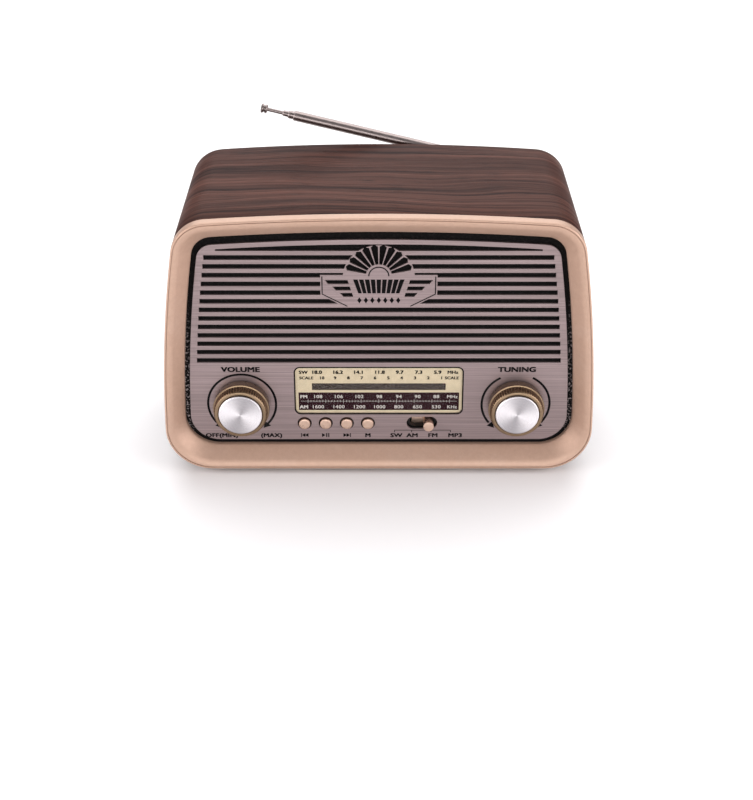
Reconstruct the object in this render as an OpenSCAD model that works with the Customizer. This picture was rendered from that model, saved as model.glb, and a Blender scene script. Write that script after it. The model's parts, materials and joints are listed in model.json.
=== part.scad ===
// Tabletop radio: wooden cabinet sleeve, gold bezel, slotted metal face, two knobs, four
// buttons, a band switch, a cord-driven dial pointer and a telescopic antenna.
// X runs to the right, Y from front to back, Z up from the table.

/* [Cabinet] */
// Widest width of the cabinet and its bezel
body_w = 204.6; // [198:0.2:250]
// Height of the crowned top above the table
body_h = 136; // [132:0.5:168]
// Depth of the cabinet sleeve from its front edge to its rear edge
cabinet_d = 89; // [72:0.5:110]
// Wall of the cabinet sleeve
wall = 5; // [3.5:0.25:6]
// Radius of the bulge of each side
side_r = 665; // [500:5:900]
// Height above the table at which the sides are widest
side_z = 15; // [10:1:25]
// Radius of the crowned top
crown_r = 1150; // [900:10:1500]
// Radius of the two top corners
top_corner_r = 17; // [14:0.5:20]
// Radius of the two bottom corners
bottom_corner_r = 22; // [18:0.5:25]
// Height of the rubber feet
foot_h = 3; // [2:0.5:5]
// Radius of the rubber feet
foot_r = 7; // [5:0.5:9]

/* [Front] */
// How far the rim of the bezel stands in front of the face panel
bezel_reach = 8; // [6.5:0.5:10]
// Length of the side wall of the bezel
bezel_side = 5; // [4:0.5:5.5]
// Width of the bezel at the sides
bezel_w = 9; // [8:0.25:11]
// Width of the bezel at the top and bottom
bezel_h = 10; // [9:0.25:12]
// Rounding of the front rim of the bezel
rim_r = 1.2; // [0.6:0.1:2]
// Strip of cloth that shows at each side of the face panel
ring_side = 2.5; // [2:0.1:3.5]
// Strip of cloth that shows above the face panel
ring_top = 4.2; // [3:0.1:5]
// Strip of cloth that shows below the face panel
ring_bottom = 2.3; // [2:0.1:3.5]
// Thickness of the face panel
panel_t = 1.2; // [1:0.1:1.5]
// Thickness of the speaker cloth
cloth_t = 0.5; // [0.3:0.1:0.8]
// Thickness of the front baffle and of the rear panel
baffle_t = 3; // [3:0.25:4]

/* [Grille] */
// Pitch of the grille slots
slot_pitch = 4.48; // [4:0.02:5.5]
// Height of a grille slot
slot_h = 2.4; // [1.8:0.1:2.8]
// Bar of metal left at each end of a grille slot
slot_end = 3.2; // [2.5:0.1:6]
// Height of the lowest slot above the lower edge of the face panel
grille_low = 43.8; // [43.4:0.1:50]

/* [Controls] */
// Height of both knobs above the table
knob_z = 35.15; // [33:0.05:37]
// Distance from a knob to the side edge of the face panel
knob_edge = 24.8; // [23:0.1:30]
// Radius of the rear skirt of a knob
knob_r = 13.2; // [12:0.1:14.5]
// How far the cap of a knob stands in front of the face panel
knob_reach = 10.8; // [9.5:0.1:13]
// Radius of the spun metal cap of a knob
knob_cap_r = 10.35; // [9:0.05:10.8]
// Number of grooves in the grip of a knob
knob_grooves = 60; // [40:1:80]
// Radius of the knob shafts
shaft_r = 3; // [2.5:0.1:3.2]
// Radius of the printed arc round a knob
arc_r = 16.7; // [15.5:0.1:17.5]
// Gap from the printed arc to the dial window
dial_gap = 9; // [8:0.1:12]
// Height of the dial window
dial_h = 25.3; // [24:0.1:27]
// Radius of a push button
button_r = 2.8; // [2.3:0.1:3]
// Pitch of the push buttons
button_pitch = 10.2; // [9:0.1:10.4]
// Travel of a push button
button_travel = 0.6; // [0.3:0.05:0.8]
// Travel of the band lever over its four positions
band_travel = 6.3; // [4.5:0.1:6.5]
// Radius of the band lever
lever_r = 2.5; // [2:0.1:2.6]

/* [Tuning drive] */
// Distance that the pointer travels
pointer_travel = 65; // [50:1:68]
// Radius at which the cord runs on the drum
drum_cord_r = 19.1; // [15:0.1:20]
// Radius of the dial cord
cord_r = 0.4; // [0.3:0.05:0.5]
// Radius of the smooth posts that guide the cord
guide_r = 2; // [1.5:0.1:2.2]

/* [Speaker] */
// Radius of the speaker frame
speaker_r = 33; // [28:0.5:34]
// Depth of the speaker from its flange to the back of its magnet
speaker_d = 28; // [26:0.5:40]

/* [Battery and sockets] */
// Radius of the rechargeable cell
cell_r = 9.2; // [7:0.1:9.5]
// Length of the rechargeable cell
cell_l = 65; // [48:0.5:70]
// Bore radius of the 3.5 mm sound socket
aux_r = 1.75; // [1.7:0.05:1.8]
// Distance of the sound socket from the centre line
aux_x = 62; // [55:0.5:66]
// Height of the sound socket above the table
aux_z = 66; // [60:0.5:72]

/* [Antenna] */
// Rest angle of the antenna above the horizontal
antenna_angle = 14; // [0:1:45]
// Length of the folded antenna from its pivot to its tip
antenna_l = 142.6; // [120:0.2:150]
// Outer radius of the thickest antenna tube
antenna_r = 2.6; // [2.4:0.1:3]
// Step in radius from one antenna tube to the next
antenna_step = 0.55; // [0.45:0.05:0.6]
// Distance from the antenna axis to the rear edge of the cabinet
antenna_off = 6.3; // [6.2:0.1:9]

/* [Fits] */
// Clearance of a running fit, on the radius
fit = 0.05; // [0.02:0.01:0.09]
// Clearance between covers and the openings that hold them
gap = 0.3; // [0.2:0.05:0.4]

/* [Hidden] */
$fn = 48;
e = 0.5;
half_w = body_w / 2;
pivot_back = 3.2;
antenna_back = antenna_off + pivot_back;
y_face = knob_reach - (knob_reach + cabinet_d - (bezel_reach - bezel_side) + antenna_back) / 2;
y_rim = y_face - bezel_reach;
y_cab = y_rim + bezel_side;
y_rear = y_cab + cabinet_d;
y_cloth = y_face + panel_t;
y_baffle = y_cloth + cloth_t;
y_inner = y_baffle + baffle_t;
y_back_out = y_rear - 0.5;
y_back_in = y_back_out - baffle_t;
y_board = y_inner + 11.3;
board_t = 1.6;

// Corner centres of the outline.
side_x = half_w - side_r;
crown_z = body_h - crown_r;
low_z = foot_h + bottom_corner_r;
low_x = side_x + sqrt(pow(side_r - bottom_corner_r, 2) - pow(low_z - side_z, 2));
function side_at(z, in = 0) = side_x + sqrt(pow(side_r - in, 2) - pow(z - side_z, 2));

// Face panel layout.
panel_side = bezel_w + ring_side;
panel_low = foot_h + bezel_h + ring_bottom;
panel_high = body_h - bezel_h - ring_top;
panel_half = side_at(knob_z, panel_side);
knob_x = panel_half - knob_edge;
dial_half = knob_x - arc_r - dial_gap;
dial_low = knob_z - 5.35;
dial_high = dial_low + dial_h;
dial_r = 2.5;
bar_z = dial_low + 14.5;
bar_h = 3.8;
bar_half = pointer_travel / 2 - 0.5;
pointer_rest = bar_half + 1.4;
button_z = knob_z - 10.75;
button_x = -dial_half + 4.1;
band_x = button_x + 3 * button_pitch + 26.1;
band_z = button_z + 0.15;
recess_w = 14.8;
recess_h = 6.8;
slot_low = panel_low + grille_low;
slot_count = floor((panel_high - 8.8 - slot_low) / slot_pitch) + 1;
emblem_z = panel_high - 0.4;
grille_mid = (slot_low + panel_high) / 2;
speaker_z = max(grille_mid, dial_high + speaker_r + 0.6);

// Screw posts that tie the baffle to the rear panel.
post_r = 4;
screw_r = 1.4;
posts = [for (s = [-1, 1]) each [[s * (low_x + 4.5), low_z - 5.5], [s * (low_x - 20), body_h - 12.5]]];

// Cord drive, in the plane of the cord.
y_cord = y_inner + 3.8;
drum_x = knob_x - 3.7;
drum_z = knob_z + 45;
spindle_cord_r = shaft_r + gap + cord_r;
post_cord_r = guide_r + gap + cord_r;
cord_low = bar_z + 4.5;
left_guide = [-bar_half - 8, cord_low + post_cord_r];
low_guide = [bar_half + 12, cord_low - post_cord_r];
high_guide = [drum_x - drum_cord_r - post_cord_r, left_guide[1] + 2 * post_cord_r];

function heading(a, b) = atan2(b[1] - a[1], b[0] - a[0]);
function cross_angle(a, ra, b, rb) = heading(a, b) - asin((ra + rb) / norm(b - a)) + 90;
function open_angle(a, ra, b, rb) = heading(a, b) - asin((rb - ra) / norm(b - a)) - 90;
function arc(c, r, from, to, steps = 6) =
    [for (i = [0:steps])
        let (t = from + (to - from) * i / steps) [c[0] + r * cos(t), c[1] + r * sin(t)]];

spindle_at = [knob_x, knob_z];
drum_at = [drum_x, drum_z];
down_angle = cross_angle(low_guide, post_cord_r, spindle_at, spindle_cord_r);
up_angle = open_angle(spindle_at, spindle_cord_r, drum_at, drum_cord_r);
cord_loop = concat(
    arc(left_guide, post_cord_r, 90, 270),
    arc(low_guide, post_cord_r, 90, down_angle, 3),
    arc(spindle_at, spindle_cord_r, down_angle + 180, up_angle + 360),
    arc(drum_at, drum_cord_r, up_angle, 180, 16),
    arc(high_guide, post_cord_r, 0, -90, 3));

// Rear sockets and battery.
sockets_y = y_back_in - 12;
dc_at = [aux_x - 11.2, aux_z + 3.4];
led_at = [aux_x - 13.7, aux_z - 4.3];
card_at = [aux_x - 27.5, aux_z - 4.7];
usb_at = [aux_x - 52.7, aux_z + 1.6];
tray_wall = 1.6;
cell_z = foot_h + wall + cell_r + 10;
cell_y = y_back_in - cell_r - 1.5;
tray_half = cell_l / 2 + 5;
door_half = cell_l / 2 + 7;
door_h = 2 * cell_r + 8;
door_low = cell_z - door_h / 2;
door_hinge_z = door_low + baffle_t / 2;
door_hinge_y = y_back_out - baffle_t / 2;

// Antenna pivot.
pivot_z = body_h - 18;
pivot_x = side_at(pivot_z, wall) - 10;
pivot_y = y_rear + antenna_off;
knuckle_l = 5;
stub_l = 2.8;
tip_l = 3.5;
rod_show = 7.7;
tube_end = antenna_l - tip_l - rod_show - 2 * stub_l;

// ---------- shared shapes ----------

// Where two circles cross, on the upper side.
function meet(a, ra, b, rb) =
    let (d = norm(b - a), u = (b - a) / d, k = (d * d + ra * ra - rb * rb) / (2 * d))
    a + k * u + sqrt(ra * ra - k * k) * [-u[1], u[0]];

function corner_high(side, top, r) =
    meet([side_x, side_z], side_r - side - r, [0, crown_z], crown_r - top - r);

// Right half of the outline, from the floor line to the crown.
function half_outline(side, top, low, r_top, r_low) =
    let (lz = foot_h + low + r_low)
    let (lx = side_x + sqrt(pow(side_r - side - r_low, 2) - pow(lz - side_z, 2)))
    let (high = corner_high(side, top, r_top))
    let (a_low = heading([side_x, side_z], [lx, lz]), a_high = heading([side_x, side_z], high))
    let (a_top = heading([0, crown_z], high))
    concat(
        arc([lx, lz], r_low, -90, a_low, 12),
        arc([side_x, side_z], side_r - side, a_low, a_high, 12),
        arc(high, r_top, a_high, a_top, 12),
        arc([0, crown_z], crown_r - top, a_top, 90, 8));

// Front outline, drawn in from the sides, the top and the floor line.
module outline(side, top, low, r_top, r_low) {
    right = half_outline(side, top, low, r_top, r_low);
    left = [for (i = [len(right) - 2:-1:0]) [-right[i][0], right[i][1]]];
    polygon(concat(right, left));
}

module outline_in(inset) {
    outline(inset, inset, inset, top_corner_r - inset, bottom_corner_r - inset);
}

module inner_opening() {
    outline(bezel_w, bezel_h, bezel_h, 10, 16);
}

// Stands a flat shape up as a plate from y0 back to y1.
module upright(y0, y1) {
    translate([0, y1, 0]) rotate([90, 0, 0]) linear_extrude(y1 - y0) children();
}

module rod_y(p, r, y0, y1) {
    translate([p[0], y0, p[1]]) rotate([-90, 0, 0]) cylinder(h = y1 - y0, r = r);
}

module rod_x(y, z, r, x0, x1) {
    translate([x0, y, z]) rotate([0, 90, 0]) cylinder(h = x1 - x0, r = r);
}

module block(x0, x1, y0, y1, z0, z1) {
    translate([x0, y0, z0]) cube([x1 - x0, y1 - y0, z1 - z0]);
}

// Turns a profile of [radius, y] points round an axis along Y.
module spun(p, profile) {
    translate([p[0], 0, p[1]]) rotate([-90, 0, 0]) rotate_extrude($fn = 96) polygon(profile);
}

module rounded(w, h, r) {
    hull() for (x = [-1, 1], z = [-1, 1]) translate([x * (w / 2 - r), z * (h / 2 - r)]) circle(r);
}

module rounded_at(p, w, h, r) {
    translate(p) rounded(w, h, r);
}

// Tube along a list of 3-D points; no stretch of it may run along the side axis.
function tube_ring(p, dir, axis, r, sides) =
    let (u = cross(dir, axis) / norm(cross(dir, axis)), v = cross(u, dir) / norm(dir))
    [for (k = [0:sides - 1]) p + r * (cos(360 * k / sides) * u + sin(360 * k / sides) * v)];

module tube(points, r, axis, closed = false, sides = 8) {
    n = len(points);
    rings = [for (i = [0:n - 1])
        let (a = closed ? points[(i + n - 1) % n] : points[max(i - 1, 0)])
        let (b = closed ? points[(i + 1) % n] : points[min(i + 1, n - 1)])
        tube_ring(points[i], b - a, axis, r, sides)];
    spans = closed ? n : n - 1;
    walls = [for (i = [0:spans - 1], k = [0:sides - 1])
        let (j = (i + 1) % n, m = (k + 1) % sides)
        let (a = i * sides + k, b = i * sides + m, c = j * sides + m, d = j * sides + k)
        each [[a, b, c], [a, c, d]]];
    caps = closed ? [] : [[for (k = [sides - 1:-1:0]) k], [for (k = [0:sides - 1]) (n - 1) * sides + k]];
    polyhedron([for (ring = rings) each ring], concat(walls, caps), convexity = 10);
}

// ---------- cabinet ----------

module cabinet() {
    color("#5b403c") upright(y_cab, y_rear) difference() {
        outline_in(0);
        outline_in(wall);
    }
}

module front_bezel() {
    color("#cfae9b") difference() {
        union() {
            hull() {
                upright(y_rim, y_rim + 0.1) outline_in(rim_r);
                upright(y_rim + rim_r, y_cab) outline_in(0);
            }
            upright(y_cab - 0.1, y_cloth) outline_in(wall + gap);
        }
        hull() {
            upright(y_rim - 0.2, y_rim) outline(3, 3, 3, 14, 19);
            upright(y_face - 1.2, y_face - 1) inner_opening();
        }
        upright(y_rim, y_cloth + 1) inner_opening();
    }
}

module feet() {
    color("#1c1a19") for (x = [-1, 1], y = [y_cab + 12, y_rear - 12])
        translate([x * (low_x - 10), y, 0]) cylinder(h = foot_h, r = foot_r);
}

module rear_panel() {
    pocket = baffle_t / 2;
    color("#4c3128") difference() {
        union() {
            upright(y_back_in, y_back_out) outline_in(wall + gap);
            for (x = [usb_at[0] - 10, aux_x + 9]) rod_y([x, aux_z + 7], 3, sockets_y, y_back_in + e);
        }
        for (p = posts) {
            rod_y(p, screw_r + 0.3, y_back_in - e, y_back_out + e);
            rod_y(p, 3.2, y_back_out - pocket, y_back_out + e);
        }
        upright(y_back_in - e, y_back_out + e) {
            translate([0, cell_z]) square([2 * door_half, door_h], center = true);
            rounded_at(usb_at, 13.6, 6.2, 0.6);
            rounded_at(card_at, 13.6, 2.6, 0.4);
        }
        rod_y([aux_x, aux_z], 3.2, y_back_in - e, y_back_out + e);
        rod_y(dc_at, 4.2, y_back_in - e, y_back_out + e);
        rod_y(led_at, 0.85, y_back_in - e, y_back_out + e);
        rod_y([pivot_x, pivot_z], 3.6, y_back_in - e, y_back_out + e);
        rod_x(door_hinge_y, door_hinge_z, 0.9 + fit, -door_half - 3, door_half + 3);
    }
}

module rear_screws() {
    color("#3a3a3c") for (p = posts) {
        rod_y(p, 2.8, y_back_out - baffle_t / 2, y_back_out - 0.1);
        rod_y(p, screw_r - fit, y_back_in - 8, y_back_out - baffle_t / 2);
    }
}

// ---------- front ----------

module control_holes(shaft, button, lever_w, lever_h) {
    for (x = [-knob_x, knob_x]) translate([x, knob_z]) circle(shaft);
    for (i = [0:3]) translate([button_x + i * button_pitch, button_z]) circle(button);
    rounded_at([band_x, band_z], lever_w, lever_h, lever_h / 2 - 0.01);
}

module speaker_cloth() {
    color("#2b2625") upright(y_cloth, y_baffle) difference() {
        outline_in(wall + gap);
        control_holes(4.2, button_r + gap, recess_w - 1, recess_h - 1);
        rounded_at([0, bar_z], 2 * bar_half + 8, bar_h + 1.4, 1);
    }
}

module guide_post(p) {
    rod_y(p, guide_r, y_inner - e, y_cord + 2.4);
    rod_y(p, guide_r + 1, y_inner - e, y_cord - 1.2);
}

board_bosses = [for (s = [-1, 1])
    each [[s * (knob_x + 13), knob_z + 11.5], [s * (dial_half + 8), foot_h + wall + 6]]];
bracket_w = drum_cord_r + 4.2;
bracket_h = drum_cord_r - 3;
bracket_bosses = [for (x = [-1, 1], z = [-1, 1]) [drum_x + x * bracket_w, drum_z + z * bracket_h]];
speaker_hole_r = speaker_r - 1.8;
speaker_holes = [for (a = [45:90:315]) [speaker_hole_r * cos(a), speaker_z + speaker_hole_r * sin(a)]];

module front_baffle() {
    color("#26211f") difference() {
        union() {
            upright(y_baffle, y_inner) outline_in(wall + gap);
            for (p = board_bosses) rod_y(p, 2.6, y_inner - e, y_board);
            for (p = bracket_bosses) rod_y(p, 2.6, y_inner - e, y_inner + 8);
            guide_post(left_guide);
            guide_post(low_guide);
            guide_post(high_guide);
            for (x = [-bar_half - 5, bar_half + 6.5])
                block(x - 1.5, x + 1.5, y_inner - e, y_inner + 5, bar_z - 2.4, bar_z + 2.4);
        }
        upright(y_baffle - e, y_inner + e) {
            translate([0, speaker_z]) circle(speaker_r - 5, $fn = 96);
            slot = 2 * lever_r + 2 * gap;
            control_holes(shaft_r + 1, button_r + gap, band_travel + slot, slot);
            translate([0.9, bar_z]) square([2 * bar_half + 3.2, 1.8], center = true);
        }
        upright(y_baffle - e, y_baffle + 1.6)
            translate([0.9, bar_z]) square([2 * bar_half + 4, bar_h + 0.6], center = true);
        for (p = board_bosses) rod_y(p, 1, y_board - 6, y_board + e);
        for (p = bracket_bosses) rod_y(p, 1, y_inner + 3, y_inner + 8 + e);
        for (p = speaker_holes) rod_y(p, 0.8, y_baffle + 1, y_inner + e);
        rod_x(y_inner + 2.8, bar_z, 1, -bar_half - 6, bar_half + 7.5);
    }
}

// Posts glued behind the baffle, which take the screws of the rear panel.
module corner_posts() {
    color("#26211f") for (p = posts) difference() {
        rod_y(p, post_r, y_inner, y_back_in);
        rod_y(p, screw_r, y_back_in - 10, y_back_in + e);
    }
}

// Emblem: an open fan over two slatted wings and a blank plaque.
fan_z = emblem_z - 19;
module petal(a, r0, r1) {
    spread = 6.5;
    polygon([[r0 * cos(a - spread), r0 * sin(a - spread)], [r1 * cos(a - spread), r1 * sin(a - spread)],
        [(r1 + 1) * cos(a), (r1 + 1) * sin(a)],
        [r1 * cos(a + spread), r1 * sin(a + spread)], [r0 * cos(a + spread), r0 * sin(a + spread)]]);
}

module emblem_field() {
    translate([0, fan_z]) intersection() {
        circle(16.6);
        translate([-20, -15.2]) square([40, 40]);
    }
    translate([0, fan_z])
        polygon([[-15.1, -15.2], [15.1, -15.2], [27, -8.6], [27, 1.6], [-27, 1.6], [-27, -8.6]]);
}

module emblem_cuts() {
    for (a = [18:16:162]) translate([0, fan_z + 1]) petal(a, 6, 15);
    for (s = [-1, 1], i = [0:2]) {
        w = 25 - i * 3.5;
        polygon([[s * (14.4 - i), fan_z - 1 - 3.3 * i], [s * w, fan_z - 1 - 3.3 * i],
            [s * (w - 1.6), fan_z - 3 - 3.3 * i], [s * (13.8 - i), fan_z - 3 - 3.3 * i]]);
    }
}

module slots() {
    top_z = slot_low + (slot_count - 1) * slot_pitch;
    for (i = [0:slot_count - 1]) {
        z = slot_low + i * slot_pitch;
        w = side_at(z, panel_side) - slot_end;
        translate([0, z]) square([2 * w, slot_h], center = true);
    }
    // A thin wedge follows the crown above the top slot.
    w = side_at(top_z, panel_side) - slot_end - 5.5;
    intersection() {
        translate([-w, top_z + 3.3]) square([2 * w, 20]);
        outline(0, bezel_h + ring_top + 2.3, 0, 5, 5);
    }
}

module face_panel() {
    color("#a89393") upright(y_face, y_cloth) difference() {
        outline(panel_side, bezel_h + ring_top, bezel_h + ring_bottom, 7.5, 13.5);
        difference() {
            slots();
            emblem_field();
        }
        emblem_cuts();
        control_holes(4.2, button_r + 0.6, recess_w, recess_h);
        rounded_at([0, dial_low + dial_h / 2], 2 * dial_half, dial_h, dial_r);
    }
}

module dial_scale() {
    color("#d8c5ad") upright(y_cloth - 0.5, y_cloth) difference() {
        rounded_at([0, dial_low + dial_h / 2], 2 * dial_half - 0.1, dial_h - 0.1, dial_r);
        rounded_at([0, bar_z], 2 * bar_half, bar_h, 0.3);
    }
}

module dial_lens() {
    color("#dfe6e8", 0.4) upright(y_face - 0.1, y_cloth - 0.5)
        rounded_at([0, dial_low + dial_h / 2], 2 * dial_half - 0.1, dial_h - 0.1, dial_r);
}

// ---------- knobs ----------

module knob_body(x) {
    front = y_face - knob_reach + 0.8;
    back = y_face - 0.6;
    band = back - 4.8;
    color("#a88a6c") difference() {
        union() {
            spun([x, knob_z], [[0, back], [knob_r - 0.3, back], [knob_r, back - 0.3], [knob_r, back - 4],
                [knob_r + 0.25, back - 4.2], [knob_r + 0.25, band], [knob_r - 1, band - 0.2],
                [knob_r - 1, front + 0.9], [knob_r - 1.4, front], [0, front]]);
            translate([x, front + 4.2, knob_z]) rotate([90, 0, 0]) linear_extrude(3) polygon([
                for (i = [0:2 * knob_grooves - 1])
                    let (r = knob_r - 0.7 - (i % 2) * 0.35, t = 180 * i / knob_grooves)
                    [r * cos(t), r * sin(t)]]);
        }
        rod_y([x, knob_z], knob_cap_r + 0.1, front - e, front + 0.6);
        spun([x, knob_z],
            [[5.5, back + e], [knob_r - 2.4, back + e], [knob_r - 3, front + 2.4], [5.5, front + 2.4]]);
        rod_y([x, knob_z], shaft_r + 0.02, front + 2.4, back + e);
    }
}

module knob_disc(x) {
    front = y_face - knob_reach;
    color("#e3dce3") spun([x, knob_z], [[0, front], [knob_cap_r - 0.4, front], [knob_cap_r, front + 0.4],
        [knob_cap_r, front + 1.4], [0, front + 1.4]]);
}

module volume_knob() { knob_body(-knob_x); }
module tuning_knob() { knob_body(knob_x); }
module volume_knob_cap() { knob_disc(-knob_x); }
module tuning_knob_cap() { knob_disc(knob_x); }

module volume_pot() {
    color("#8d8f92") difference() {
        union() {
            rod_y([-knob_x, knob_z], 8.5, y_inner + 3.5, y_board);
            rod_y([-knob_x, knob_z], shaft_r + 0.9, y_baffle + 0.2, y_inner + 4);
        }
        rod_y([-knob_x, knob_z], shaft_r + fit, y_baffle - e, y_board - 3);
    }
}

module volume_shaft() {
    color("#c9ccd0") rod_y([-knob_x, knob_z], shaft_r, y_face - knob_reach + 3.4, y_board - 3.3);
}

module tuning_bush() {
    color("#b9a15c") difference() {
        rod_y(spindle_at, shaft_r + 0.9, y_baffle + 0.2, y_inner + 1.6);
        rod_y(spindle_at, shaft_r + fit, y_baffle - e, y_inner + 2);
    }
}

module tuning_spindle() {
    color("#c9ccd0") {
        rod_y(spindle_at, shaft_r, y_face - knob_reach + 3.4, y_board - 2);
        rod_y(spindle_at, shaft_r + 2, y_cord + 1.4, y_cord + 2.6);
        rod_y(spindle_at, shaft_r + 2, y_inner + 2, y_cord - 1);
    }
}

// ---------- dial drive ----------

module tuning_bracket() {
    y = y_inner + 8;
    color("#b8bcc0") difference() {
        upright(y, y + 1.2) rounded_at(drum_at, 2 * bracket_w + 7, 2 * bracket_h + 7, 3);
        rod_y(drum_at, 4, y - e, y + 1.2 + e);
        for (p = bracket_bosses) rod_y(p, 1.3, y - e, y + 1.2 + e);
    }
}

module tuning_capacitor() {
    y = y_inner + 9.2;
    color("#e6e2d6") difference() {
        block(drum_x - 10, drum_x + 10, y, y + 9, drum_z - 10, drum_z + 10);
        rod_y(drum_at, 2.5 + fit, y - e, y + 6);
    }
}

module dial_drum() {
    groove = drum_cord_r - gap - cord_r;
    flange = drum_cord_r + 1.1;
    color("#e9e4d8") union() {
        spun(drum_at, [[0, y_cord - 1.5], [flange, y_cord - 1.5], [flange, y_cord - 0.8],
            [groove, y_cord - 0.7], [groove, y_cord + 0.7], [flange, y_cord + 0.8],
            [flange, y_cord + 1.5], [0, y_cord + 1.5]]);
        rod_y(drum_at, 2.5, y_cord, y_inner + 9.2 + 5.5);
    }
}

module dial_cord() {
    color("#d9cfa8") tube([for (p = cord_loop) [p[0], y_cord, p[1]]], cord_r, [0, 1, 0], true);
}

module pointer_rail() {
    color("#c9ccd0") rod_x(y_inner + 2.8, bar_z, 1, -bar_half - 6, bar_half + 7.5);
}

module dial_pointer() {
    x = pointer_rest;
    color("#c8432e") difference() {
        union() {
            block(x - 0.45, x + 0.45, y_baffle + 0.3, y_baffle + 1.2, bar_z - 1.7, bar_z + 1.7);
            block(x - 0.45, x + 0.45, y_baffle + 0.3, y_inner + 1, bar_z - 0.5, bar_z + 0.5);
            block(x - 2.6, x + 2.6, y_inner + 0.4, y_inner + 5, bar_z - 1.9, cord_low + 1.6);
        }
        rod_x(y_inner + 2.8, bar_z, 1 + fit, x - 4, x + 4);
        reach = cord_r + gap;
        block(x - 4, x + 4, y_cord - reach, y_inner + 6, cord_low - reach, cord_low + reach);
    }
}

// ---------- buttons and band switch ----------

module button(i) {
    at = [button_x + i * button_pitch, button_z];
    color("#cfb3a1") {
        spun(at, [[0, y_face - 1], [button_r - 0.9, y_face - 1.3], [button_r - 0.3, y_face - 1.3],
            [button_r, y_face - 1], [button_r, y_inner + gap + 0.1], [0, y_inner + gap + 0.1]]);
        rod_y(at, button_r + 1.3, y_inner + gap, y_inner + gap + 1);
        rod_y(at, 1.2, y_inner + gap + 0.5, y_board - 5 - button_travel - 0.1);
    }
}

module previous_button() { button(0); }
module play_button() { button(1); }
module next_button() { button(2); }
module mode_button() { button(3); }

module tact_switches() {
    color("#3b3b3e") for (i = [0:3]) {
        x = button_x + i * button_pitch;
        block(x - 3, x + 3, y_board - 3.5, y_board, button_z - 3, button_z + 3);
        rod_y([x, button_z], 1.75, y_board - 5, y_board - 3);
    }
}

module band_switch() {
    color("#b9bcc2") difference() {
        block(band_x - 9, band_x + 9, y_board - 4.5, y_board, band_z - 3.4, band_z + 3.4);
        block(band_x - band_travel / 2 - 1.4, band_x + band_travel / 2 + 1.4, y_board - 5, y_board - 1.2,
            band_z - 1.3, band_z + 1.3);
    }
}

module band_lever() {
    at = [band_x + band_travel / 2, band_z];
    color("#cfb3a1") {
        rod_y(at, lever_r, y_face - 3.8, y_inner + gap + 0.1);
        block(at[0] - 8, at[0] + 8, y_inner + gap, y_inner + gap + 1, band_z - 3.8, band_z + 3.8);
        block(at[0] - 1, at[0] + 1, y_inner + gap + 0.5, y_board - 1.6, band_z - 1, band_z + 1);
    }
}

// ---------- boards ----------

module main_board() {
    color("#2f6b3f") difference() {
        upright(y_board, y_board + board_t) translate([0, (foot_h + wall + knob_z + 16) / 2])
            square([2 * knob_x + 33, knob_z + 16 - foot_h - wall - 2], center = true);
        for (p = board_bosses) rod_y(p, 1.3, y_board - e, y_board + board_t + e);
        for (p = posts) rod_y(p, post_r + 1, y_board - e, y_board + board_t + e);
    }
}

module chassis_screw(p, y, length) {
    rod_y(p, 2.2, y, y + 1.4);
    rod_y(p, 1 - fit, y - length, y + e);
}

module chassis_screws() {
    color("#c8c8c8") {
        for (p = board_bosses) chassis_screw(p, y_board + board_t, 6);
        for (p = bracket_bosses) chassis_screw(p, y_inner + 8 + 1.2, 5);
    }
}

module board_components() {
    y = y_board + board_t;
    color("#222226") {
        for (x = [-40, -12, 16]) block(x, x + 10, y, y + 2, knob_z - 8, knob_z + 5);
        for (x = [-58, -51, 36, 44, 52]) rod_y([x, knob_z + 6], 2.9, y, y + 11);
        for (x = [-28:4:-20]) block(x, x + 2, y, y + 1, knob_z - 12, knob_z - 8);
    }
}

// ---------- speaker ----------

speaker_y = y_inner;
magnet_y = speaker_y + speaker_d - 12;
speaker_at = [0, speaker_z];

module speaker_frame() {
    y = speaker_y;
    color("#4a4a4d") difference() {
        spun(speaker_at, [[speaker_r - 5, y], [speaker_r, y], [speaker_r, y + 1.2],
            [speaker_r - 3.7, y + 1.2], [17, magnet_y], [9, magnet_y], [9, magnet_y - 1.2],
            [16.3, magnet_y - 1.2], [speaker_r - 4.2, y + 1.4], [speaker_r - 5, y + 1.4]]);
        for (p = speaker_holes) rod_y(p, 0.9, y - e, y + 2);
        for (a = [0:90:270]) translate([0, 0, speaker_z]) rotate([0, a, 0])
            block(-7, 7, y + 4, magnet_y - 2.5, 12, speaker_r);
    }
}

module speaker_magnet() {
    y = magnet_y;
    color("#2c2c2f") difference() {
        spun(speaker_at, [[0, y + 12], [15, y + 12], [15, y + 9.5], [19, y + 9.5], [19, y + 2],
            [15, y + 2], [15, y], [0, y]]);
        spun(speaker_at, [[6.4, y - 1], [8.3, y - 1], [8.3, y + 9.5], [6.4, y + 9.5]]);
    }
}

module speaker_cone() {
    y = speaker_y;
    outer = speaker_r - 8;
    coil = magnet_y - 4;
    color("#1b1a1a") spun(speaker_at, [[0, coil - 3.8], [4, coil - 3.2], [7.2, coil - 1.4],
        [outer, y + 2.2], [outer, y + 2.9], [7.7, coil], [7.7, magnet_y + 4], [7, magnet_y + 4],
        [7, coil - 0.6], [4, coil - 2.4], [0, coil - 3]]);
}

module speaker_surround() {
    y = speaker_y;
    inner = speaker_r - 8;
    color("#141414") spun(speaker_at, [[inner, y + 1.7], [inner + 1, y + 0.9], [inner + 2, y + 0.9],
        [inner + 2.95, y + 1.7], [inner + 2.95, y + 2.2], [inner + 1.8, y + 1.4], [inner + 1.2, y + 1.4],
        [inner, y + 2.2]]);
}

module speaker_screws() {
    color("#c8c8c8") for (p = speaker_holes) {
        rod_y(p, 1.65, speaker_y + 1.2, speaker_y + 2.4);
        rod_y(p, 0.8 - fit, y_baffle + 1.2, speaker_y + 2);
    }
}

// ---------- aerial inside the cabinet ----------

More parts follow.
